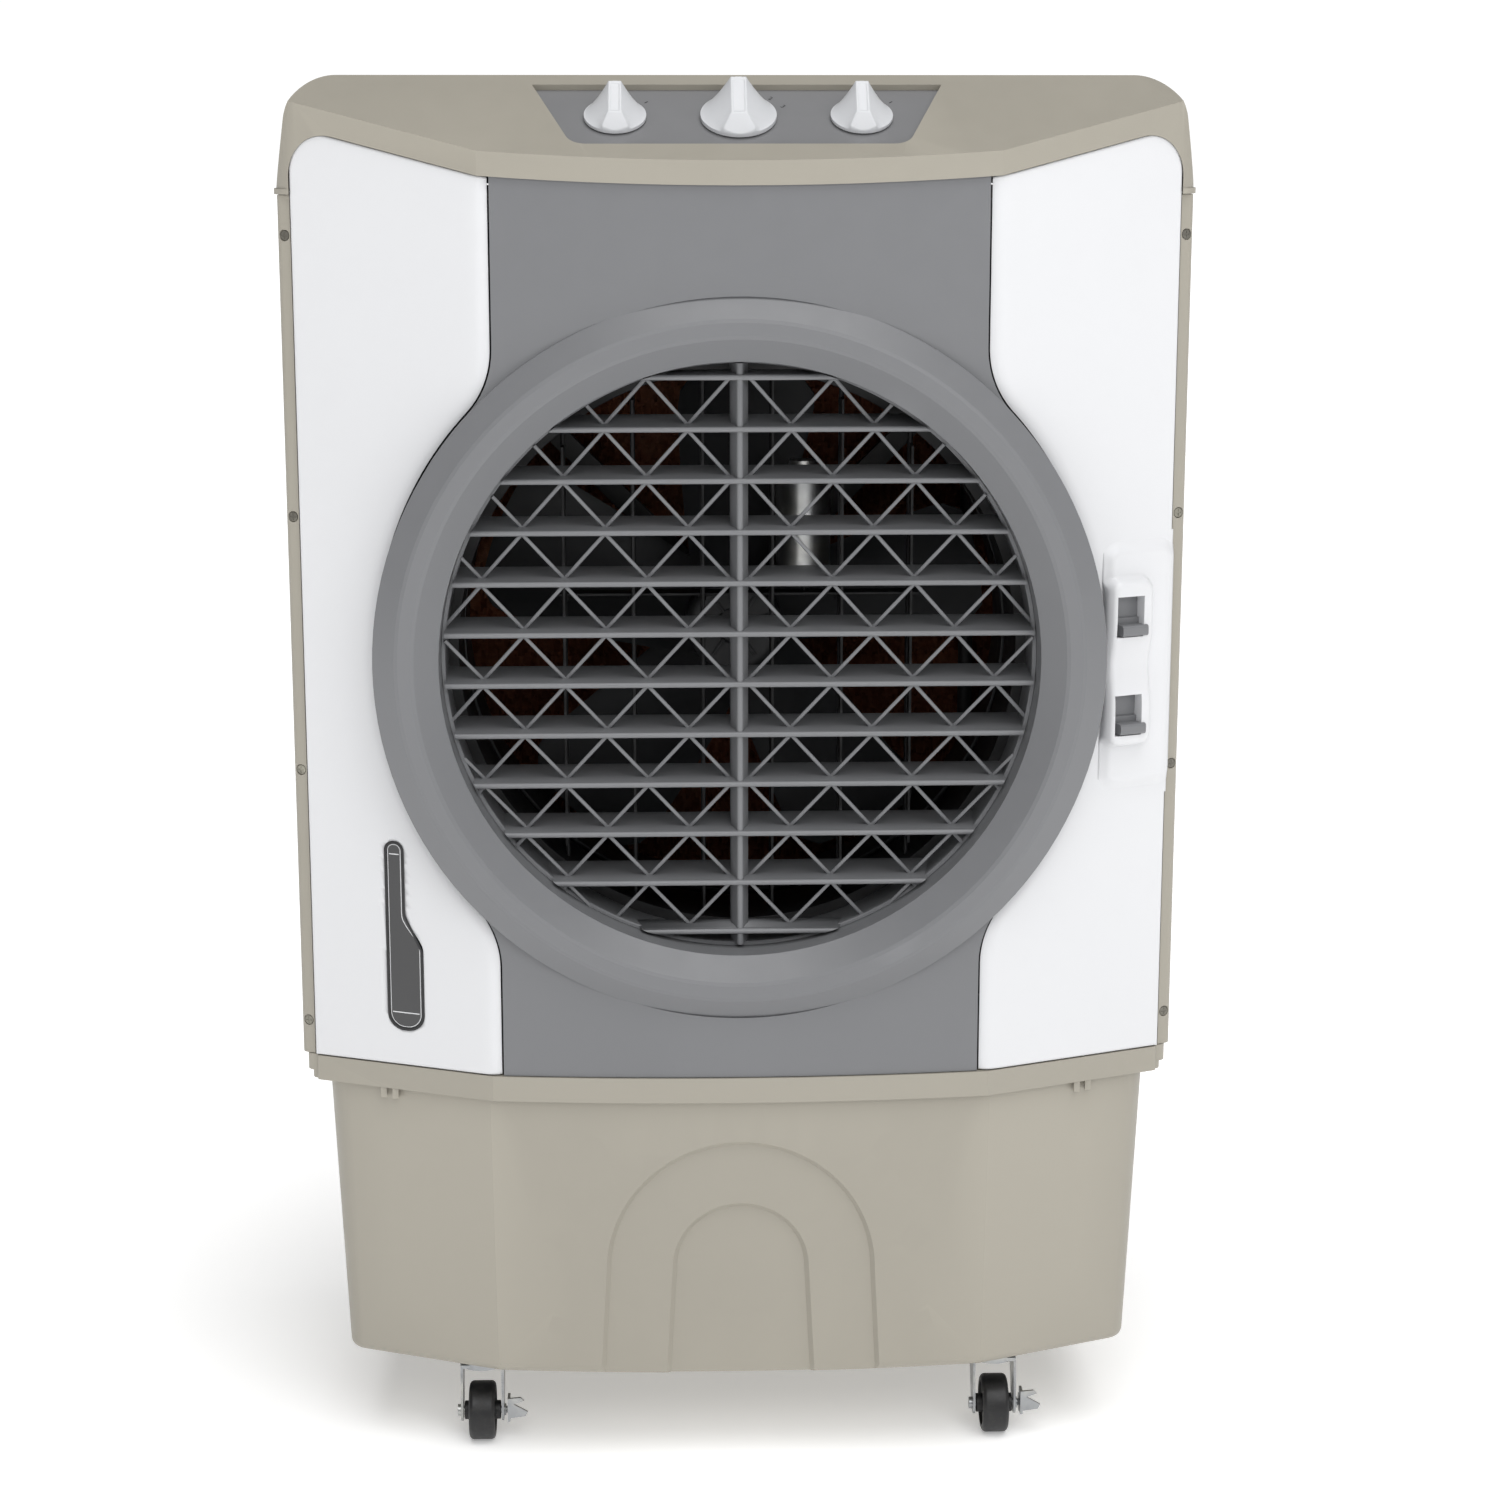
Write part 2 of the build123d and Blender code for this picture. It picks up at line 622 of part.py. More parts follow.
def zigzag(row):
    """One row of the diamond lattice, leaning back from the louvre above to the louvre below."""
    top_z = louvre_z(row) - 1.0
    low_z = louvre_z(row + 1) + 3.4
    height = math.hypot(top_z - low_z, 12.0)
    lean = math.degrees(math.atan2(12.0, top_z - low_z))
    places = [LATTICE_FIRST + LATTICE_HALF_PITCH * k for k in range(8)]
    heights = [height if (k + row) % 2 == 0 else 0.0 for k in range(8)]
    path = list(zip(places, heights))
    half_wire = LATTICE_WIRE * 0.72
    upper = [(x, h + half_wire) for x, h in path]
    lower = [(x, h - half_wire) for x, h in reversed(path)]
    right = closed(*upper, *lower)
    strip = right + right.mirror(Plane.YZ)
    bar = extrude(Plane.XZ * strip, amount=LATTICE_WIRE / 2, both=True)
    bar = Pos(0, LOUVRE_FRONT_Y + 17, low_z) * Rot(lean, 0, 0) * bar
    return bar & rod_y(0, RING_Z, -240, -100, 239.0)


def front_grille():
    parts = [louvre(i) for i in range(LOUVRE_COUNT)]
    parts += [zigzag(i) for i in range(LOUVRE_COUNT - 1)]
    post = block(
        (-POST_WIDTH / 2, POST_WIDTH / 2),
        (LOUVRE_FRONT_Y + 3, LOUVRE_FRONT_Y + LOUVRE_CHORD - 2),
        (RING_Z - 239, RING_Z + 239),
    )
    rim = ring_y(237.6, GRILLE_RIM, -172, DUCT_END_Y)
    return joined([rim, post, *parts])


# ---- swing vanes and their drive -----------------------------------------------------------------------
def vane_half_length(x):
    return math.sqrt(CARRIER_INNER**2 - (abs(x) + 12) ** 2) - 3


def vane_carrier():
    wall = ring_y(CARRIER_INNER, CARRIER_OUTER, DUCT_END_Y + 3, -50)
    flange = ring_y(CARRIER_INNER, 250, DUCT_END_Y + 0.3, DUCT_END_Y + 3.5)
    carrier = wall + flange
    for x in VANE_XS:
        carrier = carrier - rod_z(x, VANE_Y, RING_Z - 300, RING_Z + 300, PIN_RADIUS + PIN_FIT)
    return carrier


def vane(x):
    """A vane on two end pins, notched behind for the link bar, with a stud that enters the bar's slot."""
    half = vane_half_length(x)
    blade = block(
        (x - VANE_THICK / 2, x + VANE_THICK / 2),
        (VANE_Y - VANE_CHORD / 2, VANE_Y + VANE_CHORD / 2),
        (RING_Z - half, RING_Z + half),
    )
    notch = (VANE_Y + 10, VANE_Y + VANE_CHORD)
    blade = blade - block((x - 5, x + 5), notch, (LINK_Z - 1.5, LINK_Z + 18))
    reach = math.sqrt(CARRIER_INNER**2 - x**2) + 4.5
    pins = rod_z(x, VANE_Y, RING_Z - reach, RING_Z + reach, PIN_RADIUS)
    ear = rod_z(x, VANE_Y + LINK_ARM, LINK_Z - 5, LINK_Z - 1.5, 3.5)
    neck = block((x - 1, x + 1), (VANE_Y + 20, VANE_Y + LINK_ARM), (LINK_Z - 5, LINK_Z - 1.5))
    stud = rod_z(x, VANE_Y + LINK_ARM, LINK_Z - 3, LINK_Z + 4.5, 1.5)
    return blade + pins + ear + neck + stud


def link_bar():
    bar = block((-152, 152), (VANE_Y + 15, VANE_Y + 35), (LINK_Z, LINK_Z + 2.5))
    slot_depth = (VANE_Y + LINK_ARM - 5.4, VANE_Y + LINK_ARM + 2.2)
    for x in VANE_XS:
        bar = bar - block((x - 2.1, x + 2.1), slot_depth, (LINK_Z - 1, LINK_Z + 4))
    crank_slot = (VANE_Y + LINK_ARM - 2.2, VANE_Y + LINK_ARM + 5.4)
    return bar - block((CRANK_X - 2.1, CRANK_X + 2.1), crank_slot, (LINK_Z - 1, LINK_Z + 4))


def swing_crank():
    shaft = rod_z(CRANK_X, CRANK_Y, LINK_Z + 6, LINK_Z + 28, 2.5)
    arm = block(
        (CRANK_X - 4, CRANK_X + 4),
        (CRANK_Y - LINK_ARM - 4, CRANK_Y + 5),
        (LINK_Z + 6, LINK_Z + 9),
    )
    pin = rod_z(CRANK_X, CRANK_Y - LINK_ARM, LINK_Z - 2, LINK_Z + 7, 1.5)
    return shaft + arm + pin


def swing_bracket():
    plate = block((-230, 230), (-84, -30), (LINK_Z + 12, LINK_Z + 15))
    plate = plate & rod_y(0, RING_Z, -120, -20, CARRIER_INNER - 0.01)
    plate = plate - block((-200, 20), (-66, -20), (LINK_Z, LINK_Z + 30))
    plate = plate - block((96, 200), (-66, -20), (LINK_Z, LINK_Z + 30))
    return plate - rod_z(CRANK_X, CRANK_Y, LINK_Z, LINK_Z + 30, 6)


def swing_motor():
    low = LINK_Z + 15.2
    top = low + SWING_MOTOR_LENGTH
    can = rod_z(CRANK_X, CRANK_Y, low, top, SWING_MOTOR_RADIUS)
    top_edge = [e for e in can.edges() if e.center().Z > top - 4 and e.length > 100]
    can = fillet(top_edge, 8)
    collar = rod_z(CRANK_X, CRANK_Y, top - 1, top + 8, 12)
    return can + collar - rod_z(CRANK_X, CRANK_Y, low - 1, low + 20, 2.5 + PIN_FIT)


# ---- fan -----------------------------------------------------------------------------------------------
def fan():
    hub = ring_y(SHAFT_RADIUS, FAN_HUB_RADIUS, FAN_Y - 22, FAN_Y + 22)
    parts = [hub]
    for k in range(FAN_BLADES):
        blade = Rot(0, 0, FAN_PITCH) * Box(BLADE_WIDTH, BLADE_THICK, FAN_RADIUS - BLADE_ROOT)
        blade = Pos(0, 0, (FAN_RADIUS + BLADE_ROOT) / 2) * blade
        blade = blade & Rot(90, 0, 0) * Cylinder(FAN_RADIUS, 120)
        parts.append(Pos(0, FAN_Y, RING_Z) * Rot(0, 360 / FAN_BLADES * k, 0) * blade)
    return joined(parts) - rod_y(0, RING_Z, -40, 60, SHAFT_RADIUS)


def fan_shaft():
    return rod_y(0, RING_Z, FAN_Y - 34, MOTOR_FRONT_Y + 40, SHAFT_RADIUS)


def fan_nut():
    nut = Pos(0, FAN_Y - 26, RING_Z) * Rot(90, 0, 0) * extrude(RegularPolygon(9, 6), amount=4, both=True)
    return nut - rod_y(0, RING_Z, FAN_Y - 40, FAN_Y, SHAFT_RADIUS)


def fan_motor():
    back = MOTOR_FRONT_Y + MOTOR_LENGTH
    can = rod_y(0, RING_Z, MOTOR_FRONT_Y, back, MOTOR_RADIUS)
    rims = [e for e in can.edges() if e.length > 200]
    can = fillet(rims, 10)
    boss = rod_y(0, RING_Z, MOTOR_FRONT_Y - 8, MOTOR_FRONT_Y + 1, 18)
    return can + boss - rod_y(0, RING_Z, MOTOR_FRONT_Y - 10, MOTOR_FRONT_Y + 42, SHAFT_RADIUS + PIN_FIT)


def motor_bracket():
    """A strap round the motor on four arms that reach the shroud."""
    strap = ring_y(MOTOR_RADIUS, MOTOR_RADIUS + 4, MOTOR_FRONT_Y + 24, MOTOR_FRONT_Y + 50)
    parts = [strap]
    for k in range(4):
        arm = block((MOTOR_RADIUS + 2, 262), (MOTOR_FRONT_Y + 34, MOTOR_FRONT_Y + 40), (-9, 9))
        foot = block((250, 262), (SHROUD_Y + 3, MOTOR_FRONT_Y + 40), (-9, 9))
        parts.append(Pos(0, 0, RING_Z) * Rot(0, 45 + 90 * k, 0) * (arm + foot))
    return joined(parts)


def fan_shroud():
    plate = block((-318, 318), (SHROUD_Y, SHROUD_Y + 3), (WAIST_TOP + 6, 1030))
    plate = plate - rod_y(0, RING_Z, SHROUD_Y - 5, SHROUD_Y + 10, SHROUD_RADIUS)
    duct = ring_y(SHROUD_RADIUS, SHROUD_RADIUS + 3, SHROUD_Y - DUCT_HALF, SHROUD_Y + DUCT_HALF)
    return plate + duct


# ---- water system ----------------------------------------------------------------------------------------
def rear_cooling_pad():
    depth = (REAR_PAD_Y, REAR_PAD_Y + PAD_THICK)
    return block((-REAR_PAD_HALF, REAR_PAD_HALF), depth, (PAD_LOW_Z, PAD_HIGH_Z))


def side_cooling_pads():
    depth = (SIDE_PAD_FRONT_Y + 4, SIDE_PAD_BACK_Y - 4)
    height = (PAD_LOW_Z + 48, PAD_HIGH_Z - 4)
    return [block(xs, depth, height) for xs in ((-356, -326), (326, 356))]


def louvred_frame(width, height, count):
    """A rectangular frame with slanted louvres, lying in XZ and facing -Y, centred on the origin."""
    border = 16.0
    frame = Box(width, 8, height) - Box(width - 2 * border, 10, height - 2 * border)
    step = (height - 2 * border) / count
    for k in range(count):
        z = -height / 2 + border + (k + 0.5) * step
        frame = frame + Pos(0, 1, z) * Rot(-35, 0, 0) * Box(width - 2 * border + 2, 9, 2.4)
    for k in (-1, 1):
        frame = frame + Pos(k * (width / 6), 2, 0) * Box(5, 4, height - border)
    return frame


def side_pad_frames():
    return [side_pad_frame(-1), side_pad_frame(1)]


def side_pad_frame(side):
    width = SIDE_PAD_BACK_Y - SIDE_PAD_FRONT_Y - 1
    height = PAD_HIGH_Z - PAD_LOW_Z - 45
    middle = (SIDE_PAD_BACK_Y + SIDE_PAD_FRONT_Y) / 2
    centre_z = (PAD_HIGH_Z + PAD_LOW_Z + 44) / 2
    frame = louvred_frame(width, height, 26)
    return Pos(side * (SIDE_HALF - 3.2), middle, centre_z) * Rot(0, 0, side * 90) * frame


def rear_pad_frame():
    height = SIDE_TOP - WAIST_TOP - 2
    frame = louvred_frame(2 * REAR_PAD_HALF + 30, height, 30)
    return Pos(0, REAR_Y - 5, (SIDE_TOP + WAIST_TOP) / 2) * Rot(0, 0, 180) * frame


def water_distributor():
    """A shallow U-shaped trough over the tops of the three pads, with drip holes."""
    low, high = PAD_HIGH_Z + 2, PAD_HIGH_Z + 2 + TROUGH_HEIGHT
    outer = block((-358, 358), (SIDE_PAD_FRONT_Y, 206), (low, high))
    corners = [e for e in outer.edges().filter_by(Axis.Z) if e.center().Y > 0]
    outer = fillet(corners, 16)
    inner = block((-320, 320), (SIDE_PAD_FRONT_Y - 1, 166), (low - 1, high + 1))
    trough = outer - inner
    for side in (-1, 1):
        xs = (323, 355) if side > 0 else (-355, -323)
        trough = trough - block(xs, (SIDE_PAD_FRONT_Y + 3, 190), (low + 3, high + 1))
    return trough - block((-340, 340), (169, 203), (low + 3, high + 1))


def water_pump():
    floor = TANK_BOTTOM + TANK_WALL
    body = rod_z(PUMP_X, PUMP_Y, floor + 14, 170, 30)
    foot = block((PUMP_X - 32, PUMP_X + 32), (PUMP_Y - 32, PUMP_Y + 32), (floor, floor + 14))
    outlet = rod_z(PUMP_X, PUMP_Y, 169, 186, 7)
    return body + foot + outlet


def riser_hose():
    """The hose from the pump up behind the fan chamber and over the edge of the distributor."""
    path = FilletPolyline((PUMP_X, PUMP_Y, 186.2), (PUMP_X, PUMP_Y, 1058), (PUMP_X, 182, 1058), radius=18)
    return sweep((path ^ 0) * Circle(HOSE_RADIUS), path=path)


def cord_gland():
    flange = rod_y(GLAND_X, GLAND_Z, BACK_Y, BACK_Y + 2.5, 10)
    sleeve = rod_y(GLAND_X, GLAND_Z, BACK_Y - 8, BACK_Y + 1, 6)
    return flange + sleeve - rod_y(GLAND_X, GLAND_Z, 200, 230, 4)


# ---- casters ---------------------------------------------------------------------------------------------
def caster_plate(x, y):
    plate = block((x - 30, x + 30), (y - 24, y + 24), (PLATE_TOP - 3, PLATE_TOP))
    race = rod_z(x, y, PLATE_TOP - 8, PLATE_TOP - 3, 17)
    stem = rod_z(x, y, PLATE_TOP - 18, PLATE_TOP - 7, STEM_RADIUS)
    head = rod_z(x, y, PLATE_TOP - 19, PLATE_TOP - 15.5, 7)
    return plate + race + stem + head


def caster_fork(x, y):
    axle_y = y + CASTER_TRAIL
    fork = rod_z(x, y, PLATE_TOP - 15, PLATE_TOP - 8.4, 20)
    for side in (-1, 1):
        cheek = closed(
            (y - 17, PLATE_TOP - 13),
            (y + 17, PLATE_TOP - 13),
            (axle_y + 10, WHEEL_RADIUS - 4),
            (axle_y + 5, WHEEL_RADIUS - 8),
            (axle_y - 5, WHEEL_RADIUS - 8),
            (axle_y - 9, WHEEL_RADIUS - 4),
        )
        low, high = sorted((x + side * CHEEK_IN, x + side * CHEEK_OUT))
        fork = fork + prism_x(cheek, low, high)
    fork = fork + block((x - CHEEK_OUT, x + CHEEK_OUT), (y - 17, y + 17), (PLATE_TOP - 14, PLATE_TOP - 11))
    fork = fork - rod_z(x, y, 50, PLATE_TOP, STEM_RADIUS + PIN_FIT) - rod_z(x, y, 50, PLATE_TOP - 14.6, 8)
    axle = rod_x(axle_y, WHEEL_RADIUS, x - 21.5, x + 21.5, AXLE_RADIUS)
    outer_head = rod_x(axle_y, WHEEL_RADIUS, x - 21.5, x - CHEEK_OUT, 5)
    inner_head = rod_x(axle_y, WHEEL_RADIUS, x + CHEEK_OUT, x + 20, 5)
    return fork + axle + outer_head + inner_head


def caster_wheel(x, y):
    axle_y = y + CASTER_TRAIL
    tyre = rod_x(axle_y, WHEEL_RADIUS, x - WHEEL_WIDTH / 2, x + WHEEL_WIDTH / 2, WHEEL_RADIUS)
    rims = [e for e in tyre.edges() if e.length > 100]
    tyre = fillet(rims, 4)
    for side in (-1, 1):
        low, high = sorted((x + side * (WHEEL_WIDTH / 2 - 2.5), x + side * (WHEEL_WIDTH / 2 + 1)))
        tyre = tyre - rod_x(axle_y, WHEEL_RADIUS, low, high, 19)
    boss = rod_x(axle_y, WHEEL_RADIUS, x - 15.5, x + 15.5, 8)
    return tyre + boss - rod_x(axle_y, WHEEL_RADIUS, x - 30, x + 30, AXLE_RADIUS + PIN_FIT)


def brake_lever(x, y):
    """A side lever on the axle's outer end, bent outwards into two prongs for the foot."""
    axle_y = y + CASTER_TRAIL
    side = (x + 21.8, x + 24.0)
    eye = rod_x(axle_y, WHEEL_RADIUS, *side, 8)
    stem = block(side, (axle_y - 13, axle_y), (WHEEL_RADIUS - 6, WHEEL_RADIUS + 15))
    prongs = closed(
        (x + 22, WHEEL_RADIUS + 15),
        (x + 33, WHEEL_RADIUS + 16),
        (x + 36, WHEEL_RADIUS + 13),
        (x + 27, WHEEL_RADIUS + 10),
        (x + 39, WHEEL_RADIUS + 3),
        (x + 37, WHEEL_RADIUS - 1),
        (x + 22, WHEEL_RADIUS - 3),
    )
    return eye + stem + prism_y(prongs, axle_y - 13, axle_y - 10.6)


# ---- writing ---------------------------------------------------------------------------------------------
def save(name, shape):
    if isinstance(shape, list):
        shape = Compound(children=shape)
    export_step(shape, f"parts/{name}.step")


def save_housing():
    save("top_cover", top_cover())
    save("control_panel", control_panel())
    save("selector_switches", selector_switches())
    for name, x, radius in KNOBS:
        save(name, knob(x, radius))
    save("front_panel", front_panel())
    save("left_front_panel", white_panel(-1))
    save("right_front_panel", white_panel(1))
    save("level_window_frame", level_window_frame())
    save("level_window_glass", level_window_glass())
    save("level_float", level_float())
    save("tab_housing", tab_housing())
    save("tab_plates", tab_plates())
    save("lower_thumb_tab", thumb_tab(TAB_WINDOW_ZS[0]))
    save("upper_thumb_tab", thumb_tab(TAB_WINDOW_ZS[1]))
    save("left_side_panel", side_panel(-1))
    save("right_side_panel", side_panel(1))
    save("housing_screws", housing_screws())
    save("waist_frame", waist_frame())
    save("fill_door", fill_door())


def save_air_path():
    save("front_grille", front_grille())
    save("vane_carrier", vane_carrier())
    for number, x in enumerate(VANE_XS, 1):
        save(f"swing_vane_{number}", vane(x))
    save("link_bar", link_bar())
    save("swing_crank", swing_crank())
    save("swing_bracket", swing_bracket())
    save("swing_motor", swing_motor())
    save("fan", fan())
    save("fan_shaft", fan_shaft())
    save("fan_nut", fan_nut())
    save("fan_motor", fan_motor())
    save("motor_bracket", motor_bracket())
    save("fan_shroud", fan_shroud())


def save_water_system():
    save("water_tank", water_tank())
    save("drain_cap", drain_cap())
    save("water_pump", water_pump())
    save("riser_hose", riser_hose())
    save("water_distributor", water_distributor())
    save("rear_cooling_pad", rear_cooling_pad())
    save("side_cooling_pads", side_cooling_pads())
    save("rear_pad_frame", rear_pad_frame())
    save("side_pad_frames", side_pad_frames())
    save("cord_gland", cord_gland())


def save_casters():
    places = {
        "front_left": (-CASTER_X, CASTER_YS[0]),
        "front_right": (CASTER_X, CASTER_YS[0]),
        "rear_left": (-CASTER_X, CASTER_YS[1]),
        "rear_right": (CASTER_X, CASTER_YS[1]),
    }
    save("caster_plates", [caster_plate(x, y) for x, y in places.values()])
    for name, (x, y) in places.items():
        save(f"{name}_fork", caster_fork(x, y))
        save(f"{name}_wheel", caster_wheel(x, y))
        if name.startswith("front"):
            save(f"{name}_brake", brake_lever(x, y))


os.makedirs("parts", exist_ok=True)
save_housing()
save_air_path()
save_water_system()
save_casters()
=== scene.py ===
import json
import math

import bmesh
import bpy
from mathutils import Matrix, Vector, noise


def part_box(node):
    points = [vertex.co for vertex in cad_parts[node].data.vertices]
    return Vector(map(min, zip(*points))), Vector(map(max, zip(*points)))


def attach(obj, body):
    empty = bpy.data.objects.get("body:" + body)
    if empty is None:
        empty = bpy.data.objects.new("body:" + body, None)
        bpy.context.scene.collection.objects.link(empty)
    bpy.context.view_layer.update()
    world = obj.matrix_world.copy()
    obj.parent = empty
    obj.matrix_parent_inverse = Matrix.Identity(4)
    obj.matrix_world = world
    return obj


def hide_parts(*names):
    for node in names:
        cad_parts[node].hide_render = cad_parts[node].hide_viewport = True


# Evaporative cooler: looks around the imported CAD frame. Metres, +Z up, the front faces -Y.

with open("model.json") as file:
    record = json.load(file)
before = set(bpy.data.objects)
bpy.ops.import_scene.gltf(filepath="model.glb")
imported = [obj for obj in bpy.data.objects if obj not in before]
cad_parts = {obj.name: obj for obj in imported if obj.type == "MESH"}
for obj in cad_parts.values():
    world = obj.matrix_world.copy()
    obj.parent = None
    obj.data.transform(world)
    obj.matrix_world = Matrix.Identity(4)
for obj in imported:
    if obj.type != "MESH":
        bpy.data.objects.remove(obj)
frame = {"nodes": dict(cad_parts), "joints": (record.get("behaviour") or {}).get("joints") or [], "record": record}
NODES = frame["nodes"]
RECORD = frame["record"]
JOINTS = {joint["name"]: joint for joint in frame["joints"]}
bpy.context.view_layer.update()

MM = 0.001
CAMERA_TURN = 2.0
CAMERA_PITCH = 12.0
CAMERA_DISTANCE = 2.59
CAMERA_HEIGHT = 1.127
CAMERA_ASIDE = 0.0143
CAMERA_LENS = 72.9


# ---- places read from the frame ------------------------------------------------------------------
def box_centre(node):
    low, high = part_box(node)
    return (low + high) / 2


RING = box_centre("front_grille")
RING_Z = RING.z


# ---- material nodes -------------------------------------------------------------------------------
class Shader:
    """One material's node tree, with short calls for the nodes that it is made of."""

    def __init__(self, name, roughness, metallic=0.0):
        self.material = bpy.data.materials.new(name)
        self.material.use_nodes = True
        self.tree = self.material.node_tree
        self.surface = self.tree.nodes["Principled BSDF"]
        self.surface.inputs["Roughness"].default_value = roughness
        self.surface.inputs["Metallic"].default_value = metallic
        self.place = self.tree.nodes.new("ShaderNodeTexCoord").outputs["Object"]

    def set(self, **values):
        for name, value in values.items():
            self.surface.inputs[name.replace("_", " ")].default_value = value

    def wire(self, source, target):
        self.tree.links.new(source, target)

    def stretched(self, scale):
        """The object's own coordinates, scaled along each axis."""
        node = self.tree.nodes.new("ShaderNodeMapping")
        node.inputs["Scale"].default_value = scale
        self.wire(self.place, node.inputs["Vector"])
        return node.outputs["Vector"]

    def noise(self, scale, detail=3.0, rough=0.5, place=None):
        node = self.tree.nodes.new("ShaderNodeTexNoise")
        node.inputs["Scale"].default_value = scale
        node.inputs["Detail"].default_value = detail
        node.inputs["Roughness"].default_value = rough
        self.wire(place or self.place, node.inputs["Vector"])
        return node.outputs["Fac"]

    def spread(self, value, low, high, from_low=0.3, from_high=0.7):
        """A value's middle range stretched over low to high."""
        node = self.tree.nodes.new("ShaderNodeMapRange")
        node.inputs["From Min"].default_value = from_low
        node.inputs["From Max"].default_value = from_high
        node.inputs["To Min"].default_value = low
        node.inputs["To Max"].default_value = high
        self.wire(value, node.inputs["Value"])
        return node.outputs["Result"]

    def blend(self, share, first, second):
        """Two colours mixed by a share that varies over the surface."""
        node = self.tree.nodes.new("ShaderNodeMix")
        node.data_type = "RGBA"
        self.wire(share, node.inputs["Factor"])
        for socket, colour in ((node.inputs[6], first), (node.inputs[7], second)):
            if isinstance(colour, bpy.types.NodeSocket):
                self.wire(colour, socket)
            else:
                socket.default_value = (*colour, 1.0)
        return node.outputs[2]

    def sum(self, first, second, share=1.0):
        node = self.tree.nodes.new("ShaderNodeMath")
        node.operation = "MULTIPLY_ADD"
        self.wire(second, node.inputs[0])
        node.inputs[1].default_value = share
        self.wire(first, node.inputs[2])
        return node.outputs["Value"]

    def pointed(self, low, high):
        """0 in hollows and on flats, 1 on worn outer edges, from the mesh's own shape."""
        geometry = self.tree.nodes.new("ShaderNodeNewGeometry")
        return self.spread(geometry.outputs["Pointiness"], 0.0, 1.0, low, high)

    def paint(self, colour):
        self.wire(colour, self.surface.inputs["Base Color"])

    def gloss(self, value):
        self.wire(value, self.surface.inputs["Roughness"])

    def raise_by(self, height, distance, strength=1.0):
        node = self.tree.nodes.new("ShaderNodeBump")
        node.inputs["Distance"].default_value = distance
        node.inputs["Strength"].default_value = strength
        self.wire(height, node.inputs["Height"])
        if self.surface.inputs["Normal"].links:
            self.wire(self.surface.inputs["Normal"].links[0].from_socket, node.inputs["Normal"])
        self.wire(node.outputs["Normal"], self.surface.inputs["Normal"])


def tinted(colour, factor):
    return tuple(min(1.0, channel * factor) for channel in colour)


def moulded_plastic(name, colour, roughness, grain=0.00002, wear=1.08, mottle=0.03):
    """Injection moulded plastic: fine grain, slow tone and gloss changes, faintly lighter edges."""
    shader = Shader(name, roughness)
    shader.set(IOR=1.46)
    slow = shader.noise(4.0, 3.0)
    fine = shader.noise(55.0, 4.0, 0.6)
    cloud = shader.sum(slow, fine, 0.35)
    body = shader.blend(
        shader.spread(cloud, 0.0, 1.0, 0.45, 0.95), tinted(colour, 1 - mottle), tinted(colour, 1 + mottle)
    )
    shader.paint(shader.blend(shader.pointed(0.52, 0.62), body, tinted(colour, wear)))
    shader.gloss(shader.spread(fine, roughness - 0.05, roughness + 0.06))
    shader.raise_by(shader.noise(900.0, 2.0), grain)
    shader.raise_by(shader.noise(9.0, 1.0), 0.0006, 0.25)
    return shader.material


def plated_steel(name, colour, roughness, grain_scale, tint=(0.9, 0.87, 0.72)):
    """Zinc plating or brushed metal: drawn grain and soft cloudy tarnish."""
    shader = Shader(name, roughness, metallic=1.0)
    grain = shader.noise(1.0, 4.0, 0.6, shader.stretched(grain_scale))
    cloud = shader.noise(90.0, 4.0, 0.6)
    body = shader.blend(shader.spread(cloud, 0.0, 0.45), colour, tinted(colour, 0.8))
    body = shader.blend(shader.spread(shader.noise(35.0, 2.0), 0.0, 0.3, 0.5, 0.75), body, tint)
    shader.paint(body)
    shader.gloss(shader.sum(shader.spread(cloud, roughness - 0.08, roughness + 0.1), grain, 0.08))
    shader.raise_by(grain, 0.00004)
    return shader.material


def black_rubber():
    shader = Shader("wheel_rubber", 0.5)
    dust = shader.noise(160.0, 5.0, 0.65)
    dusted = shader.spread(dust, 0.0, 1.0, 0.5, 0.8)
    shader.paint(shader.blend(dusted, (0.008, 0.008, 0.009), (0.03, 0.029, 0.027)))
    shader.gloss(shader.spread(dust, 0.38, 0.6))
    shader.raise_by(shader.noise(700.0, 3.0), 0.00006)
    return shader.material


def smoked_window():
    """Dark smoked acrylic, glossy, with faint smears."""
    shader = Shader("smoked_acrylic", 0.06)
    shader.set(IOR=1.49, Coat_Weight=0.6, Coat_Roughness=0.03)
    smear = shader.noise(60.0, 4.0, 0.6, shader.stretched((1.0, 1.0, 0.25)))
    shader.paint(shader.blend(smear, (0.006, 0.006, 0.007), (0.02, 0.02, 0.022)))
    shader.gloss(shader.spread(smear, 0.04, 0.14))
    return shader.material


def cellulose():
    """Treated corrugated paper: a red-brown darkened as painted shade for the inside of the housing; fibrous,
    paler where scale has dried on it.
    """
    shader = Shader("wet_cellulose", 0.85)
    fibre = shader.noise(1.0, 5.0, 0.7, shader.stretched((260.0, 260.0, 900.0)))
    patch = shader.noise(14.0, 4.0, 0.6)
    body = shader.blend(fibre, (0.12, 0.036, 0.016), (0.26, 0.085, 0.035))
    shader.paint(shader.blend(shader.spread(patch, 0.0, 0.35, 0.5, 0.8), body, (0.34, 0.22, 0.14)))
    shader.gloss(shader.spread(patch, 0.7, 0.95))
    shader.raise_by(fibre, 0.0003)
    return shader.material


BEIGE = (0.345, 0.322, 0.272)
WHITE = (0.70, 0.705, 0.72)
GRAY = (0.175, 0.178, 0.186)

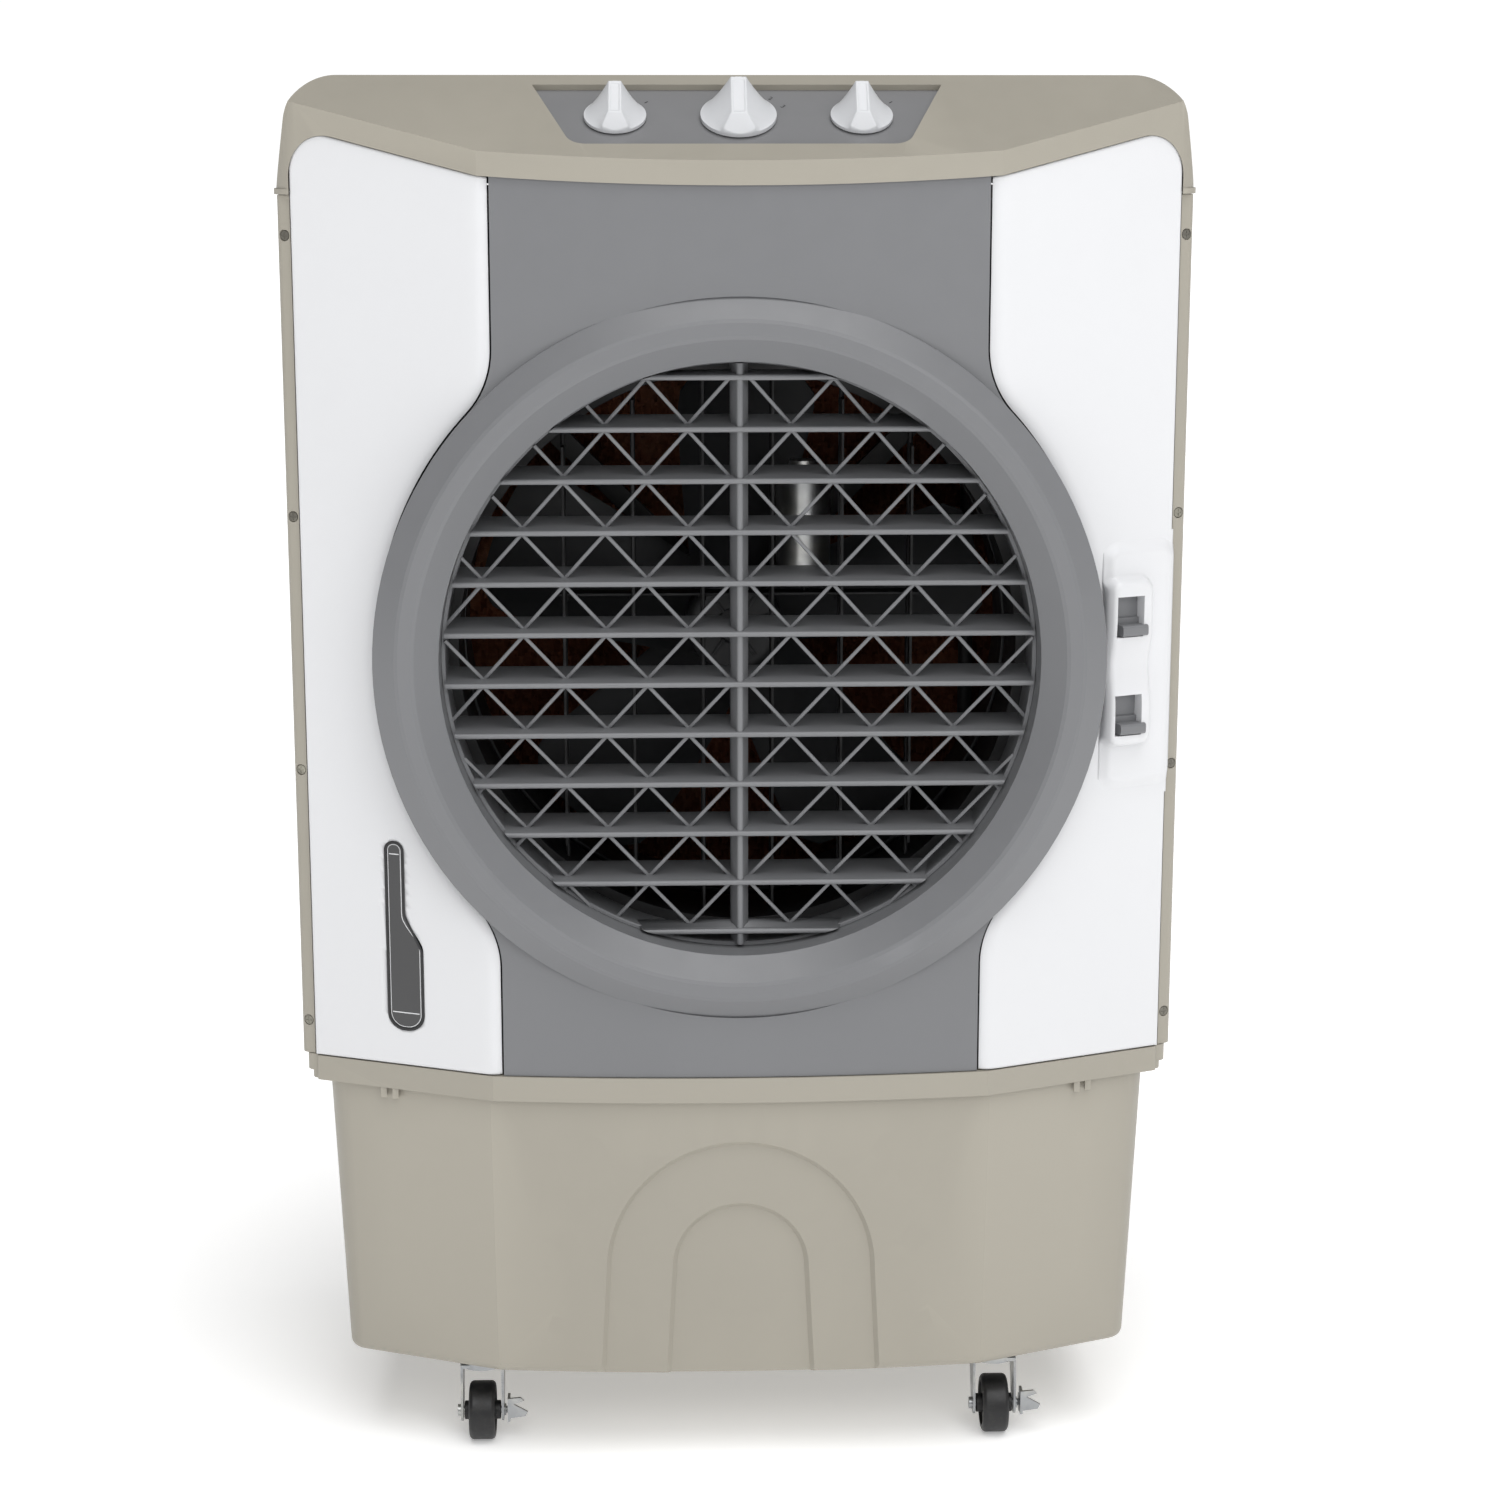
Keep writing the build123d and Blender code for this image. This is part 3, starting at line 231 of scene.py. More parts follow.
MATERIALS = {
    "beige_plastic": moulded_plastic("beige_plastic_satin", BEIGE, 0.42),
    "white_plastic": moulded_plastic("white_plastic_satin", WHITE, 0.34, mottle=0.012, wear=1.02),
    "knob_white": moulded_plastic("knob_plastic", (0.62, 0.63, 0.65), 0.36, mottle=0.015, wear=1.03),
    "gray_plastic": moulded_plastic("gray_plastic_satin", GRAY, 0.38),
    "control_gray": moulded_plastic("control_plastic", (0.2, 0.201, 0.207), 0.4),
    "black_plastic": moulded_plastic("black_plastic_matt", (0.02, 0.02, 0.021), 0.5, wear=1.6, mottle=0.15),
    # Fan near black: dark plastic, darkened further as painted shade for the dim inside of the housing.
    "fan_gray": moulded_plastic("fan_plastic", (0.035, 0.036, 0.038), 0.45, mottle=0.06),
    "painted_screws": plated_steel("painted_screw_heads", (0.2, 0.19, 0.165), 0.45, (300.0, 300.0, 300.0)),
    # Near-black motor bracket: painted shade for the dim inside of the housing.
    "black_steel": moulded_plastic("bracket_black_painted_shade", (0.018, 0.018, 0.018), 0.5, wear=1.8, mottle=0.15),
    "smoked_glass": smoked_window(),
    "float_gray": moulded_plastic("float_plastic", (0.14, 0.14, 0.145), 0.35),
    "motor_metal": plated_steel("motor_can", (0.62, 0.63, 0.64), 0.34, (60.0, 60.0, 900.0)),
    "steel": plated_steel("plain_steel", (0.52, 0.52, 0.53), 0.35, (700.0, 90.0, 700.0)),
    # Zinc kept darker than bare plating: painted shade for the casters in the tank's shadow.
    "zinc_steel": plated_steel("zinc_plating", (0.36, 0.37, 0.38), 0.32, (120.0, 900.0, 120.0)),
    "wheel_black": black_rubber(),
    "cellulose": cellulose(),
    "hose_rubber": moulded_plastic("hose_rubber_dull", (0.03, 0.03, 0.03), 0.6, wear=1.3, mottle=0.1),
    "trough_plastic": moulded_plastic("trough_plastic_matt", (0.6, 0.61, 0.61), 0.48, mottle=0.04),
}

SLOT_OF = {row["node"]: row["material_slot"] for row in RECORD["subparts"]}

EDGE_WIDTHS = {
    "top_cover": 2.2 * MM,
    "front_panel": 1.2 * MM,
    "waist_frame": 1.2 * MM,
    "housing_screws": 0.25 * MM,
    "level_window_glass": 0.3 * MM,
    "level_window_frame": 0.3 * MM,
    "side_pad_frames": 0.5 * MM,
    "rear_pad_frame": 0.5 * MM,
}


SHADED_AS_DRAWN = {"water_tank"}


def smooth_shading():
    """A node group that drops a mesh's stored normals and shades it smooth."""
    group = bpy.data.node_groups.new("smooth_shading", "GeometryNodeTree")
    for way in ("INPUT", "OUTPUT"):
        group.interface.new_socket("Geometry", in_out=way, socket_type="NodeSocketGeometry")
    drop = group.nodes.new("GeometryNodeRemoveAttribute")
    drop.inputs["Name"].default_value = "custom_normal"
    smooth = group.nodes.new("GeometryNodeSetShadeSmooth")
    chain = [group.nodes.new("NodeGroupInput"), drop, smooth, group.nodes.new("NodeGroupOutput")]
    for before, after in zip(chain, chain[1:]):
        group.links.new(before.outputs["Geometry"], after.inputs["Geometry"])
    return group


SMOOTH_SHADING = smooth_shading()


def finish_cad_node(name, node):
    """Rounded edges, even shading and the slot's finish on a CAD node whose shape is right."""
    node.data.materials.clear()
    node.data.materials.append(MATERIALS[SLOT_OF[name]])
    if name in SHADED_AS_DRAWN:
        return
    shading = node.modifiers.new("shading", "NODES")
    shading.node_group = SMOOTH_SHADING
    weld = node.modifiers.new("weld", "WELD")
    weld.merge_threshold = 0.002 * MM
    bevel = node.modifiers.new("bevel", "BEVEL")
    bevel.width = EDGE_WIDTHS.get(name, 0.6 * MM)
    bevel.segments = 2
    bevel.angle_limit = math.radians(14)
    bevel.use_clamp_overlap = True
    normals = node.modifiers.new("normals", "WEIGHTED_NORMAL")
    normals.weight = 100


for node_name, node_object in NODES.items():
    finish_cad_node(node_name, node_object)


# ---- mesh building ----------------------------------------------------------------------------------
class Mould:
    """Collects surfaces into one closed mesh."""

    def __init__(self):
        self.points = []
        self.faces = []

    def grid(self, rows, round_rows=False, round_columns=False, flip=False):
        """Quads over rows of points; round_ joins the last row or column to the first."""
        start = len(self.points)
        high, wide = len(rows), len(rows[0])
        for row in rows:
            self.points.extend(tuple(point) for point in row)
        for i in range(high if round_rows else high - 1):
            for j in range(wide if round_columns else wide - 1):
                below, beside = (i + 1) % high, (j + 1) % wide
                quad = [i * wide + j, i * wide + beside, below * wide + beside, below * wide + j]
                self.face(start, quad, flip)
        return start

    def face(self, start, corners, flip=False):
        corners = [start + corner for corner in corners]
        self.faces.append(tuple(reversed(corners)) if flip else tuple(corners))

    def tube(self, rings, capped=True):
        """A closed skin through rings of points."""
        start = self.grid(rings, round_columns=True)
        count = len(rings[0])
        if capped:
            self.face(start, range(count))
            self.face(start + (len(rings) - 1) * count, range(count), flip=True)

    def bar(self, first, last, wide, thick, across, sides=10):
        """A straight bar of rounded section from first to last; across is its wide direction."""
        along = (last - first).normalized()
        across = (across - along * across.dot(along)).normalized()
        normal = along.cross(across)
        rings = []
        for centre in (first, last):
            ring = []
            for k in range(sides):
                angle = math.tau * (k + 0.5) / sides
                offset = rounded(angle, wide, across) + rounded(angle - math.pi / 2, thick, normal)
                ring.append(centre + offset)
            rings.append(ring)
        self.tube(rings)

    def piece(self, name, slot, body="housing", replaces=(), material=None, flat_angle=None):
        mesh = bpy.data.meshes.new(name)
        mesh.from_pydata([tuple(point) for point in self.points], [], self.faces)
        mesh.validate()
        mesh.shade_smooth()
        if flat_angle:
            mesh.set_sharp_from_angle(angle=math.radians(flat_angle))
        even_out(mesh)
        mesh.materials.append(material or MATERIALS[slot])
        made = add_object(name, mesh)
        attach(made, body)
        if replaces:
            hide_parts(*replaces)
        return made


def rounded(angle, width, direction):
    """The part of a squarish rounded section that lies along one direction."""
    turn = math.cos(angle)
    return direction * (width / 2 * math.copysign(abs(turn) ** 0.7, turn))


def even_out(mesh):
    """Merges doubled points and turns every face outward."""
    work = bmesh.new()
    work.from_mesh(mesh)
    bmesh.ops.remove_doubles(work, verts=work.verts, dist=0.005 * MM)
    bmesh.ops.recalc_face_normals(work, faces=work.faces)
    work.to_mesh(mesh)
    work.free()


def add_object(name, data):
    made = bpy.data.objects.new(name, data)
    bpy.context.scene.collection.objects.link(made)
    return made


def smooth_step(value, low, high):
    t = min(1.0, max(0.0, (value - low) / (high - low)))
    return t * t * (3 - 2 * t)


def soft_max(a, b, blend):
    """The greater of two heights, with a fillet of about blend where they meet."""
    h = max(0.0, 1 - abs(a - b) / blend)
    return max(a, b) + h * h * blend / 4


def spaced(low, high, count):
    return [low + (high - low) * k / (count - 1) for k in range(count)]


# ---- outlet grille ----------------------------------------------------------------------------------
LOUVRES = 12
LOUVRE_PITCH = 41.2 * MM
LOUVRE_FRONT = -182 * MM
LOUVRE_CHORD = 50 * MM
LOUVRE_END_CHORD = 26 * MM
LOUVRE_THICK = 3.4 * MM
LOUVRE_NOSE = 4.6 * MM
LOUVRE_TILT = math.radians(8)
RIM_INSIDE = 237.6 * MM
RIM_OUTSIDE = 240.6 * MM
RIM_FRONT, RIM_BACK = -172 * MM, -128 * MM
RIM_EDGE = 1 * MM
WIRE = 3.1 * MM
ZIGZAG = 33.2 * MM
ZIGZAG_FIRST = 8.1 * MM
ZIGZAG_BACK = 17 * MM
POST_NOSE = 5.5 * MM
POST_WIDTH = 14 * MM


def chord_half(z, radius=RIM_INSIDE + 0.8 * MM):
    """Half the width of the outlet circle at a height above its centre."""
    return math.sqrt(max(0.0, radius**2 - z**2))


def louvre_height(index):
    return ((LOUVRES - 1) / 2 - index) * LOUVRE_PITCH


def louvre_section(chord):
    """(depth, height) points round a louvre: a rounded bead in front, a thin web and a rounded tail."""
    nose, half = LOUVRE_NOSE / 2, LOUVRE_THICK / 2
    tail = half * 0.75
    front = [(nose - nose * math.cos(a), nose * math.sin(a)) for a in spaced(-2.3, 2.3, 13)]
    end = chord - tail
    back = [(end + tail * math.cos(a), tail * math.sin(a)) for a in spaced(math.pi / 2, -math.pi / 2, 7)]
    upper = [(nose * 2.6, half), (chord * 0.6, half * 0.9)]
    lower = [(chord * 0.6, -half * 0.9), (nose * 2.6, -half)]
    return front + upper + back + lower


def add_louvre(mould, index):
    chord = LOUVRE_END_CHORD if index in (0, LOUVRES - 1) else LOUVRE_CHORD
    height = louvre_height(index)
    left, right = [], []
    for depth, rise in louvre_section(chord):
        y = LOUVRE_FRONT + depth * math.cos(LOUVRE_TILT) - rise * math.sin(LOUVRE_TILT)
        z = height + depth * math.sin(LOUVRE_TILT) + rise * math.cos(LOUVRE_TILT)
        reach = chord_half(z)
        left.append((-reach, y, RING_Z + z))
        right.append((reach, y, RING_Z + z))
    mould.tube([left, right])


def add_zigzag(mould, row):
    """Struts between two louvres, mirrored about the middle post and cut off at the rim."""
    top = louvre_height(row) - 0.4 * MM
    foot = louvre_height(row + 1) + 2.6 * MM
    front, back = LOUVRE_FRONT + 5 * MM, LOUVRE_FRONT + ZIGZAG_BACK
    corners = [(0.0 if k == -1 else ZIGZAG_FIRST + ZIGZAG * k, (k + row) % 2 == 0) for k in range(8)]
    for (x0, up0), (x1, up1) in zip(corners, corners[1:]):
        z0, z1 = (top if up0 else foot), (top if up1 else foot)
        y0, y1 = (front if up0 else back), (front if up1 else back)
        share = 1.0
        while share > 0 and chord_half(z0 + (z1 - z0) * share) < x0 + (x1 - x0) * share:
            share -= 0.02
        if share <= 0.05:
            continue
        for side in (-1, 1):
            first = Vector((side * x0, y0, RING_Z + z0))
            last = Vector((side * x1, y1, RING_Z + z1))
            mould.bar(first, first.lerp(last, share), WIRE, WIRE * 0.9, Vector((0, 0, 1)))


def add_post(mould):
    """The upright in the middle: a narrow rounded nose that widens behind."""
    nose, half = POST_NOSE / 2, POST_WIDTH / 2
    front, back = LOUVRE_FRONT + 2 * MM, LOUVRE_FRONT + LOUVRE_CHORD - 2 * MM
    section = [(nose * math.sin(a), front + nose - nose * math.cos(a)) for a in spaced(-1.4, 1.4, 9)]
    section += [(half * 0.62, front + 9 * MM), (half, front + 14 * MM), (half, back)]
    section += [(-half, back), (-half, front + 14 * MM), (-half * 0.62, front + 9 * MM)]
    reach = RIM_INSIDE + 0.4 * MM
    mould.tube([[(x, y, RING_Z + z) for x, y in section] for z in (-reach, reach)])


def add_turned(mould, outline, centre_z=None, segments=160):
    """A ring about the outlet axis from (radius, y) points."""
    centre_z = RING_Z if centre_z is None else centre_z
    rows = []
    for k in range(segments):
        angle = math.tau * k / segments
        rows.append([(r * math.sin(angle), y, centre_z + r * math.cos(angle)) for r, y in outline])
    mould.grid(rows, round_rows=True, round_columns=True)


def front_grille():
    mould = Mould()
    for index in range(LOUVRES):
        add_louvre(mould, index)
    for row in range(LOUVRES - 1):
        add_zigzag(mould, row)
    add_post(mould)
    chamfer = [(RIM_INSIDE, RIM_FRONT + RIM_EDGE), (RIM_INSIDE + RIM_EDGE, RIM_FRONT)]
    add_turned(mould, chamfer + [(RIM_OUTSIDE, RIM_FRONT), (RIM_OUTSIDE, RIM_BACK), (RIM_INSIDE, RIM_BACK)])
    return mould.piece("grille_moulding", "gray_plastic", replaces=["front_grille"], flat_angle=40)


# ---- fan --------------------------------------------------------------------------------------------
FAN_LOW, FAN_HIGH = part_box("fan")
FAN_Y = (FAN_LOW.y + FAN_HIGH.y) / 2
FAN_TIP = 219 * MM
FAN_HUB = 42 * MM
BLADES = 5
HUB_HALF = 22 * MM
HUB_DOME = 9 * MM
HUB_RIBS = 10
FAN_BORE = 5 * MM


def blade_point(r, chordwise, face):
    """A point on a twisted, cambered blade; chordwise runs -1 to 1, face is 1 or -1."""
    share = (r - FAN_HUB) / (FAN_TIP - FAN_HUB)
    pitch = math.radians(38 - 13 * share)
    chord = (92 + 62 * share - 16 * share**3) * MM
    camber = 0.075 * chord * (1 - chordwise**2)
    thick = (2.6 - 0.9 * share) * MM * math.sqrt(max(0.0, 1 - chordwise**4))
    across = chordwise * chord / 2
    lift = camber + face * thick / 2
    sweep = 0.12 * chord * share
    side = (across + sweep) * math.cos(pitch) - lift * math.sin(pitch)
    depth = across * math.sin(pitch) + lift * math.cos(pitch)
    angle = side / r
    return r * math.sin(angle), depth, r * math.cos(angle)


def add_blade(mould, turn):
    radii = spaced(FAN_HUB - 3 * MM, FAN_TIP, 16)
    chords = [math.sin(t) for t in spaced(-math.pi / 2, math.pi / 2, 15)]
    rings = []
    for r in radii:
        tip = 1 - 0.25 * smooth_step(r, FAN_TIP - 16 * MM, FAN_TIP)
        outline = [(c * tip, 1) for c in chords] + [(c * tip, -1) for c in reversed(chords[1:-1])]
        ring = []
        for chordwise, face in outline:
            x, y, z = blade_point(r, chordwise, face)
            cos, sin = math.cos(turn), math.sin(turn)
            ring.append((x * cos + z * sin, FAN_Y + y, RING_Z + z * cos - x * sin))
        rings.append(ring)
    mould.tube(rings)


def fan():
    mould = Mould()
    for k in range(BLADES):
        add_blade(mould, math.tau * k / BLADES)
    front, back = FAN_Y - HUB_HALF, FAN_Y + HUB_HALF
    inner, behind = FAN_HUB - HUB_DOME, front + HUB_DOME
    dome = [(inner + HUB_DOME * math.sin(a), behind - HUB_DOME * math.cos(a)) for a in spaced(0, 1.57, 8)]
    step = [(FAN_BORE, front + 2 * MM), (14 * MM, front + 2 * MM), (16 * MM, front)]
    add_turned(mould, step + dome + [(FAN_HUB, back), (FAN_BORE, back)], segments=72)
    for k in range(HUB_RIBS):
        turn = math.tau * k / HUB_RIBS
        radial = Vector((math.sin(turn), 0, math.cos(turn)))
        centre = Vector((0, front - 0.4 * MM, RING_Z))
        mould.bar(centre + radial * 15 * MM, centre + radial * 31 * MM, 2.4 * MM, 3 * MM, Vector((0, 1, 0)))
    return mould.piece("fan_moulding", "fan_gray", body="fan_body", replaces=["fan"], flat_angle=35)


# ---- knobs ------------------------------------------------------------------------------------------
KNOB_FOOT = 3.6 * MM
LARGE_KNOB = 30 * MM
RIDGE_TOP, RIDGE_END = 0.57, -0.6
STRIP_INSET = 0.5 * MM


def slope_axes(knob):
    """A knob's place on the slope: its centre, up-slope direction and outward normal."""
    joint = JOINTS[f"{knob}_turn"]
    normal = Vector(joint["axis"]).normalized()
    uphill = normal.cross(Vector((1, 0, 0))).normalized()
    return Vector(joint["pos_m"]), uphill, normal


def knob_height(x, v, radius):
    """Height of the knob's surface above its foot: a finger ridge that slopes to the user, and its flanks."""
    rim = 0.1 * radius
    if v > RIDGE_TOP * radius:
        crest = 0.87 * radius - (v / radius - RIDGE_TOP) * 1.79 * radius
    elif v > RIDGE_END * radius:
        crest = (0.48 + 0.39 * (v / radius - RIDGE_END) / (RIDGE_TOP - RIDGE_END)) * radius
    else:
        crest = (0.48 + 0.95 * (v / radius - RIDGE_END)) * radius
    crest *= 1 + max(0.0, LARGE_KNOB - radius) * 24
    front = smooth_step(-v / radius, 0.5, 1.0)
    strip = min(radius * (0.2 + 0.25 * front), 0.96 * math.sqrt(max(0.0, radius**2 - v**2)))
    flank = math.sqrt(max(0.0, radius**2 - v**2)) - strip
    share = min(1.0, max(0.0, (abs(x) - strip) / max(flank, 0.01 * MM)))
    height = rim + max(0.0, crest - rim) * (1 - share) ** 1.35
    inset = STRIP_INSET * smooth_step(strip - abs(x), 1.2 * MM, 1.8 * MM)
    inset *= smooth_step(0.5 * radius - v, 0, 1 * MM) * smooth_step(v + 0.55 * radius, 0, 1 * MM)
    return height - inset


def knob(name):
    low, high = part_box(name)
    radius = (high.x - low.x) / 2
    centre, uphill, normal = slope_axes(name)
    foot = centre - normal * KNOB_FOOT
    rings, segments, rows = 56, 168, []
    aside = Vector((1, 0, 0))
    for i in range(rings + 1):
        r = radius * (i / rings) ** 0.85
        row = []
        for k in range(segments):
            angle = math.tau * k / segments
            x, v = r * math.cos(angle), r * math.sin(angle)
            height = knob_height(x, v, radius)
            row.append(foot + aside * x + uphill * v + normal * height)
        rows.append(row)
    edge = []
    for drop in (0.25, 0.7, 1.0):
        ring = []
        for k in range(segments):
            angle = math.tau * k / segments
            x, v = radius * math.cos(angle), radius * math.sin(angle)
            ring.append(foot + aside * x + uphill * v + normal * knob_height(x, v, radius) * (1 - drop))
        edge.append(ring)
    mould = Mould()
    start = mould.grid(rows + edge, round_columns=True)
    mould.face(start + (len(rows) + 2) * segments, range(segments), flip=True)
    return mould.piece(f"{name}_cap", "knob_white", body=f"{name}_body", replaces=[name], flat_angle=50)


# ---- front panels -----------------------------------------------------------------------------------
CREASE_X = 204 * MM
BOW_DEPTH = 12 * MM
FACET_SLOPE = 0.418
FACET_ANGLE = math.atan(FACET_SLOPE)
BOW_RADIUS = (CREASE_X**2 + BOW_DEPTH**2) / (2 * BOW_DEPTH)
WHITE_FACE = -210.5 * MM
WHITE_HALF = 355 * MM
WHITE_FOOT = 346.5 * MM
ROOF_RISE = 65 / 109
BAND_FOOT_Z = 1065.2 * MM
BAND_Y = -212 * MM
PANEL_CORNER = 36 * MM
SEAM_HALF = 196.2 * MM
RING_EDGE = 294.7 * MM
SEAM_FILLET = 73.3 * MM
FILLET_X = SEAM_HALF + SEAM_FILLET
FILLET_Z = math.sqrt((RING_EDGE + SEAM_FILLET) ** 2 - FILLET_X**2)
SEAM_ROLL = 11 * MM
SEAM_DROP = 3.4 * MM
PANEL_SKIN = 3.2 * MM


def front_face(x, foremost):
    """Depth of the bowed front with its facets, for a surface whose middle is at foremost."""
    x = abs(x)
    bow = BOW_RADIUS - math.sqrt(BOW_RADIUS**2 - min(x, 1.2 * CREASE_X) ** 2)
    facet = BOW_DEPTH + (x - CREASE_X) * FACET_SLOPE
    return foremost + soft_max(bow, facet, 3 * MM)


def seam_x(z):
    """Where the seam round the gray panel runs, at a height from the ring's centre."""
    z = abs(z)
    if z >= FILLET_Z:
        return SEAM_HALF
    if z > FILLET_Z * RING_EDGE / (RING_EDGE + SEAM_FILLET):
        return FILLET_X - math.sqrt(SEAM_FILLET**2 - (FILLET_Z - z) ** 2)
    return math.sqrt(RING_EDGE**2 - z**2)


def from_seam(x, z):
    """Distance from the seam to a place outside it."""
    x, z = abs(x), abs(z)
    if z >= FILLET_Z:
        return x - SEAM_HALF if x < FILLET_X else SEAM_ROLL
    if (FILLET_Z - z) * FILLET_X < (FILLET_X - x) * FILLET_Z:
        return SEAM_FILLET - math.hypot(FILLET_X - x, FILLET_Z - z)
    return math.hypot(x, z) - RING_EDGE


def rolled(distance, radius):
    """How far a rounded edge falls away at a distance from its rim."""
    if distance >= radius:
        return 0.0
    return radius - math.sqrt(max(0.0, radius**2 - (radius - max(0.0, distance)) ** 2))


def panel_top(x):
    return BAND_FOOT_Z + (front_face(x, WHITE_FACE) - BAND_Y) * ROOF_RISE


def panel_place(across, up):
    """(x, z) of the point at shares across and up a white panel, with its rounded outer top corner."""
    x = (SEAM_HALF + WHITE_HALF) / 2
    z = WHITE_FOOT
    for _ in range(12):
        z = WHITE_FOOT + up * (panel_top(x) - WHITE_FOOT)
        below = panel_top(x) - z
        outer = WHITE_HALF
        if below < PANEL_CORNER:
            outer += math.sqrt(PANEL_CORNER**2 - (PANEL_CORNER - below) ** 2) - PANEL_CORNER
        inner = seam_x(z - RING_Z)
        x = inner + across * (outer - inner)
    return x, z, min(outer - x, below, z - WHITE_FOOT)


def crowded(count, power=1.6):
    """Shares from 0 to 1 that crowd towards both ends."""
    shares = []
    for k in range(count):
        t = 2 * k / (count - 1) - 1
        shares.append(0.5 + 0.5 * math.copysign(1 - (1 - abs(t)) ** power, t))
    return shares


def white_skin(side):
    mould = Mould()
    rows = []
    for up in crowded(150, 1.35):
        row = []
        for across in crowded(46, 1.9):
            x, z, rim = panel_place(across, up)
            seam = from_seam(x, z - RING_Z)
            fall = SEAM_DROP * max(0.0, 1 - seam / SEAM_ROLL) ** 2 + rolled(rim, 1.8 * MM)
            y = front_face(x, WHITE_FACE) + fall
            row.append((side * x, y, z))
        rows.append(row)
    mould.grid(rows)
    return mould


def frozen(piece):
    """Replaces a piece's mesh by what its modifiers make of it."""
    bpy.context.view_layer.update()
    shown = piece.evaluated_get(bpy.context.evaluated_depsgraph_get())
    mesh = bpy.data.meshes.new_from_object(shown)
    piece.modifiers.clear()
    piece.data = mesh


def thicken(piece, thickness):
    solid = piece.modifiers.new("skin", "SOLIDIFY")
    solid.thickness = thickness
    solid.offset = -1


def white_panel(side, name):
    piece = white_skin(side).piece(f"{name}_panel_skin", "white_plastic", replaces=[f"{name}_front_panel"])
    face_forward(piece)
    thicken(piece, PANEL_SKIN)
    return piece


def face_forward(piece):
    """Turns an open skin's faces towards the front, so that its thickness goes behind them."""
    if sum(polygon.normal.y * polygon.area for polygon in piece.data.polygons) > 0:
        piece.data.flip_normals()


def left_panel():
    """The left white panel, with the level window cut out of it."""
    piece = white_panel(-1, "left")
    cutter = Mould()
    outline = window_outline(-0.1 * MM)
    cutter.tube([[(x, y, z) for x, z in outline] for y in (-0.26, -0.12)])
    mesh = bpy.data.meshes.new("window_cutter")
    mesh.from_pydata(cutter.points, [], cutter.faces)
    even_out(mesh)
    tool = add_object("window_cutter", mesh)
    cut = piece.modifiers.new("window", "BOOLEAN")
    cut.object = tool
    cut.solver = "EXACT"
    frozen(piece)
    bpy.data.objects.remove(tool)
    return piece


# ---- level window -----------------------------------------------------------------------------------
WINDOW_LOW, WINDOW_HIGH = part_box("level_window_frame")
WINDOW_LEFT = WINDOW_LOW.x
WINDOW_WIDE = WINDOW_HIGH.x - WINDOW_LOW.x
WINDOW_NARROW = WINDOW_WIDE * 0.53
WINDOW_FOOT, WINDOW_HEAD = WINDOW_LOW.z, WINDOW_HIGH.z
NECK_LOW, NECK_HIGH = 446 * MM, 476 * MM
GLASS_FACE = -210.05 * MM


def arc(centre_x, centre_z, radius, first, last, count=14):
    """Points on an arc, from first to last degrees, anticlockwise from +X."""
    turns = [math.radians(a) for a in spaced(first, last, count)]
    return [(centre_x + radius * math.cos(a), centre_z + radius * math.sin(a)) for a in turns]


def window_outline(inset):
    """The level window's outline: a narrow stem that flares to a wide foot."""
    left, foot, head = WINDOW_LEFT + inset, WINDOW_FOOT + inset, WINDOW_HEAD - inset
    narrow, wide = WINDOW_NARROW - 2 * inset, WINDOW_WIDE - 2 * inset
    big, small = wide / 2 - 1 * MM, narrow / 2 - 0.2 * MM
    points = arc(left + big, foot + big, big, 180, 270)
    points += arc(left + wide - big, foot + big, big, 270, 360)
    for t in spaced(0, 1, 15):
        ease = t * t * (3 - 2 * t)
        points.append((left + wide + (narrow - wide) * ease, NECK_LOW + (NECK_HIGH - NECK_LOW) * t))
    points += arc(left + narrow - small, head - small, small, 0, 90)
    return points + arc(left + small, head - small, small, 90, 180)


def add_band(mould, path, width, proud, closed=True):
    """A thin raised line on the panel's surface through (x, z) points."""
    rows = []
    count = len(path)
    for k, (x, z) in enumerate(path):
        before = path[k - 1] if closed or k else path[k]
        after = path[(k + 1) % count] if closed or k < count - 1 else path[k]
        along = Vector((after[0] - before[0], after[1] - before[1])).normalized()
        ring = []
        for sideways, out in ((-1, 0), (-0.6, 1), (0.6, 1), (1, 0), (0, -0.5)):
            px = x - along.y * sideways * width / 2
            pz = z + along.x * sideways * width / 2
            ring.append((px, front_face(px, GLASS_FACE) - out * proud, pz))
        rows.append(ring)
    if closed:
        mould.grid(rows, round_rows=True, round_columns=True)
    else:
        mould.tube(rows)


def window_lines():
    """The light line inside the window's edge, and its upper and lower level lines."""
    mould = Mould()
    add_band(mould, window_outline(2.9 * MM), 0.7 * MM, 0.12 * MM)
    for z, width in ((WINDOW_HEAD - 11 * MM, WINDOW_NARROW), (WINDOW_FOOT + 15 * MM, WINDOW_WIDE)):
        xs = spaced(WINDOW_LEFT + 4.2 * MM, WINDOW_LEFT + width - 4.2 * MM, 5)
        add_band(mould, [(x, z) for x in xs], 0.9 * MM, 0.12 * MM, closed=False)
    return mould.piece("window_lines", "white_plastic", flat_angle=60)


# ---- tab cover on the right panel -------------------------------------------------------------------
TAB_LOW, TAB_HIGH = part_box("tab_plates")
TAB_WINDOW_HALF = Vector((12.5, 16.75)) * MM
TAB_ORIGIN_X = 323.5 * MM
TAB_WINDOW_S = -12.5 * MM
TAB_MIDDLE_Z = (TAB_LOW.z + TAB_HIGH.z) / 2
TAB_SPACING = (TAB_HIGH.z - TAB_LOW.z - 32.9 * MM) / 2
BAR_S = -9.5 * MM
BAR_HALF = Vector((20, 68.5)) * MM
PLATE_S = 3.5 * MM
PLATE_HALF = Vector((33, 101)) * MM
PLATE_RISE = 4.8 * MM
BAR_RISE = 15.6 * MM
SADDLE = 4.8 * MM


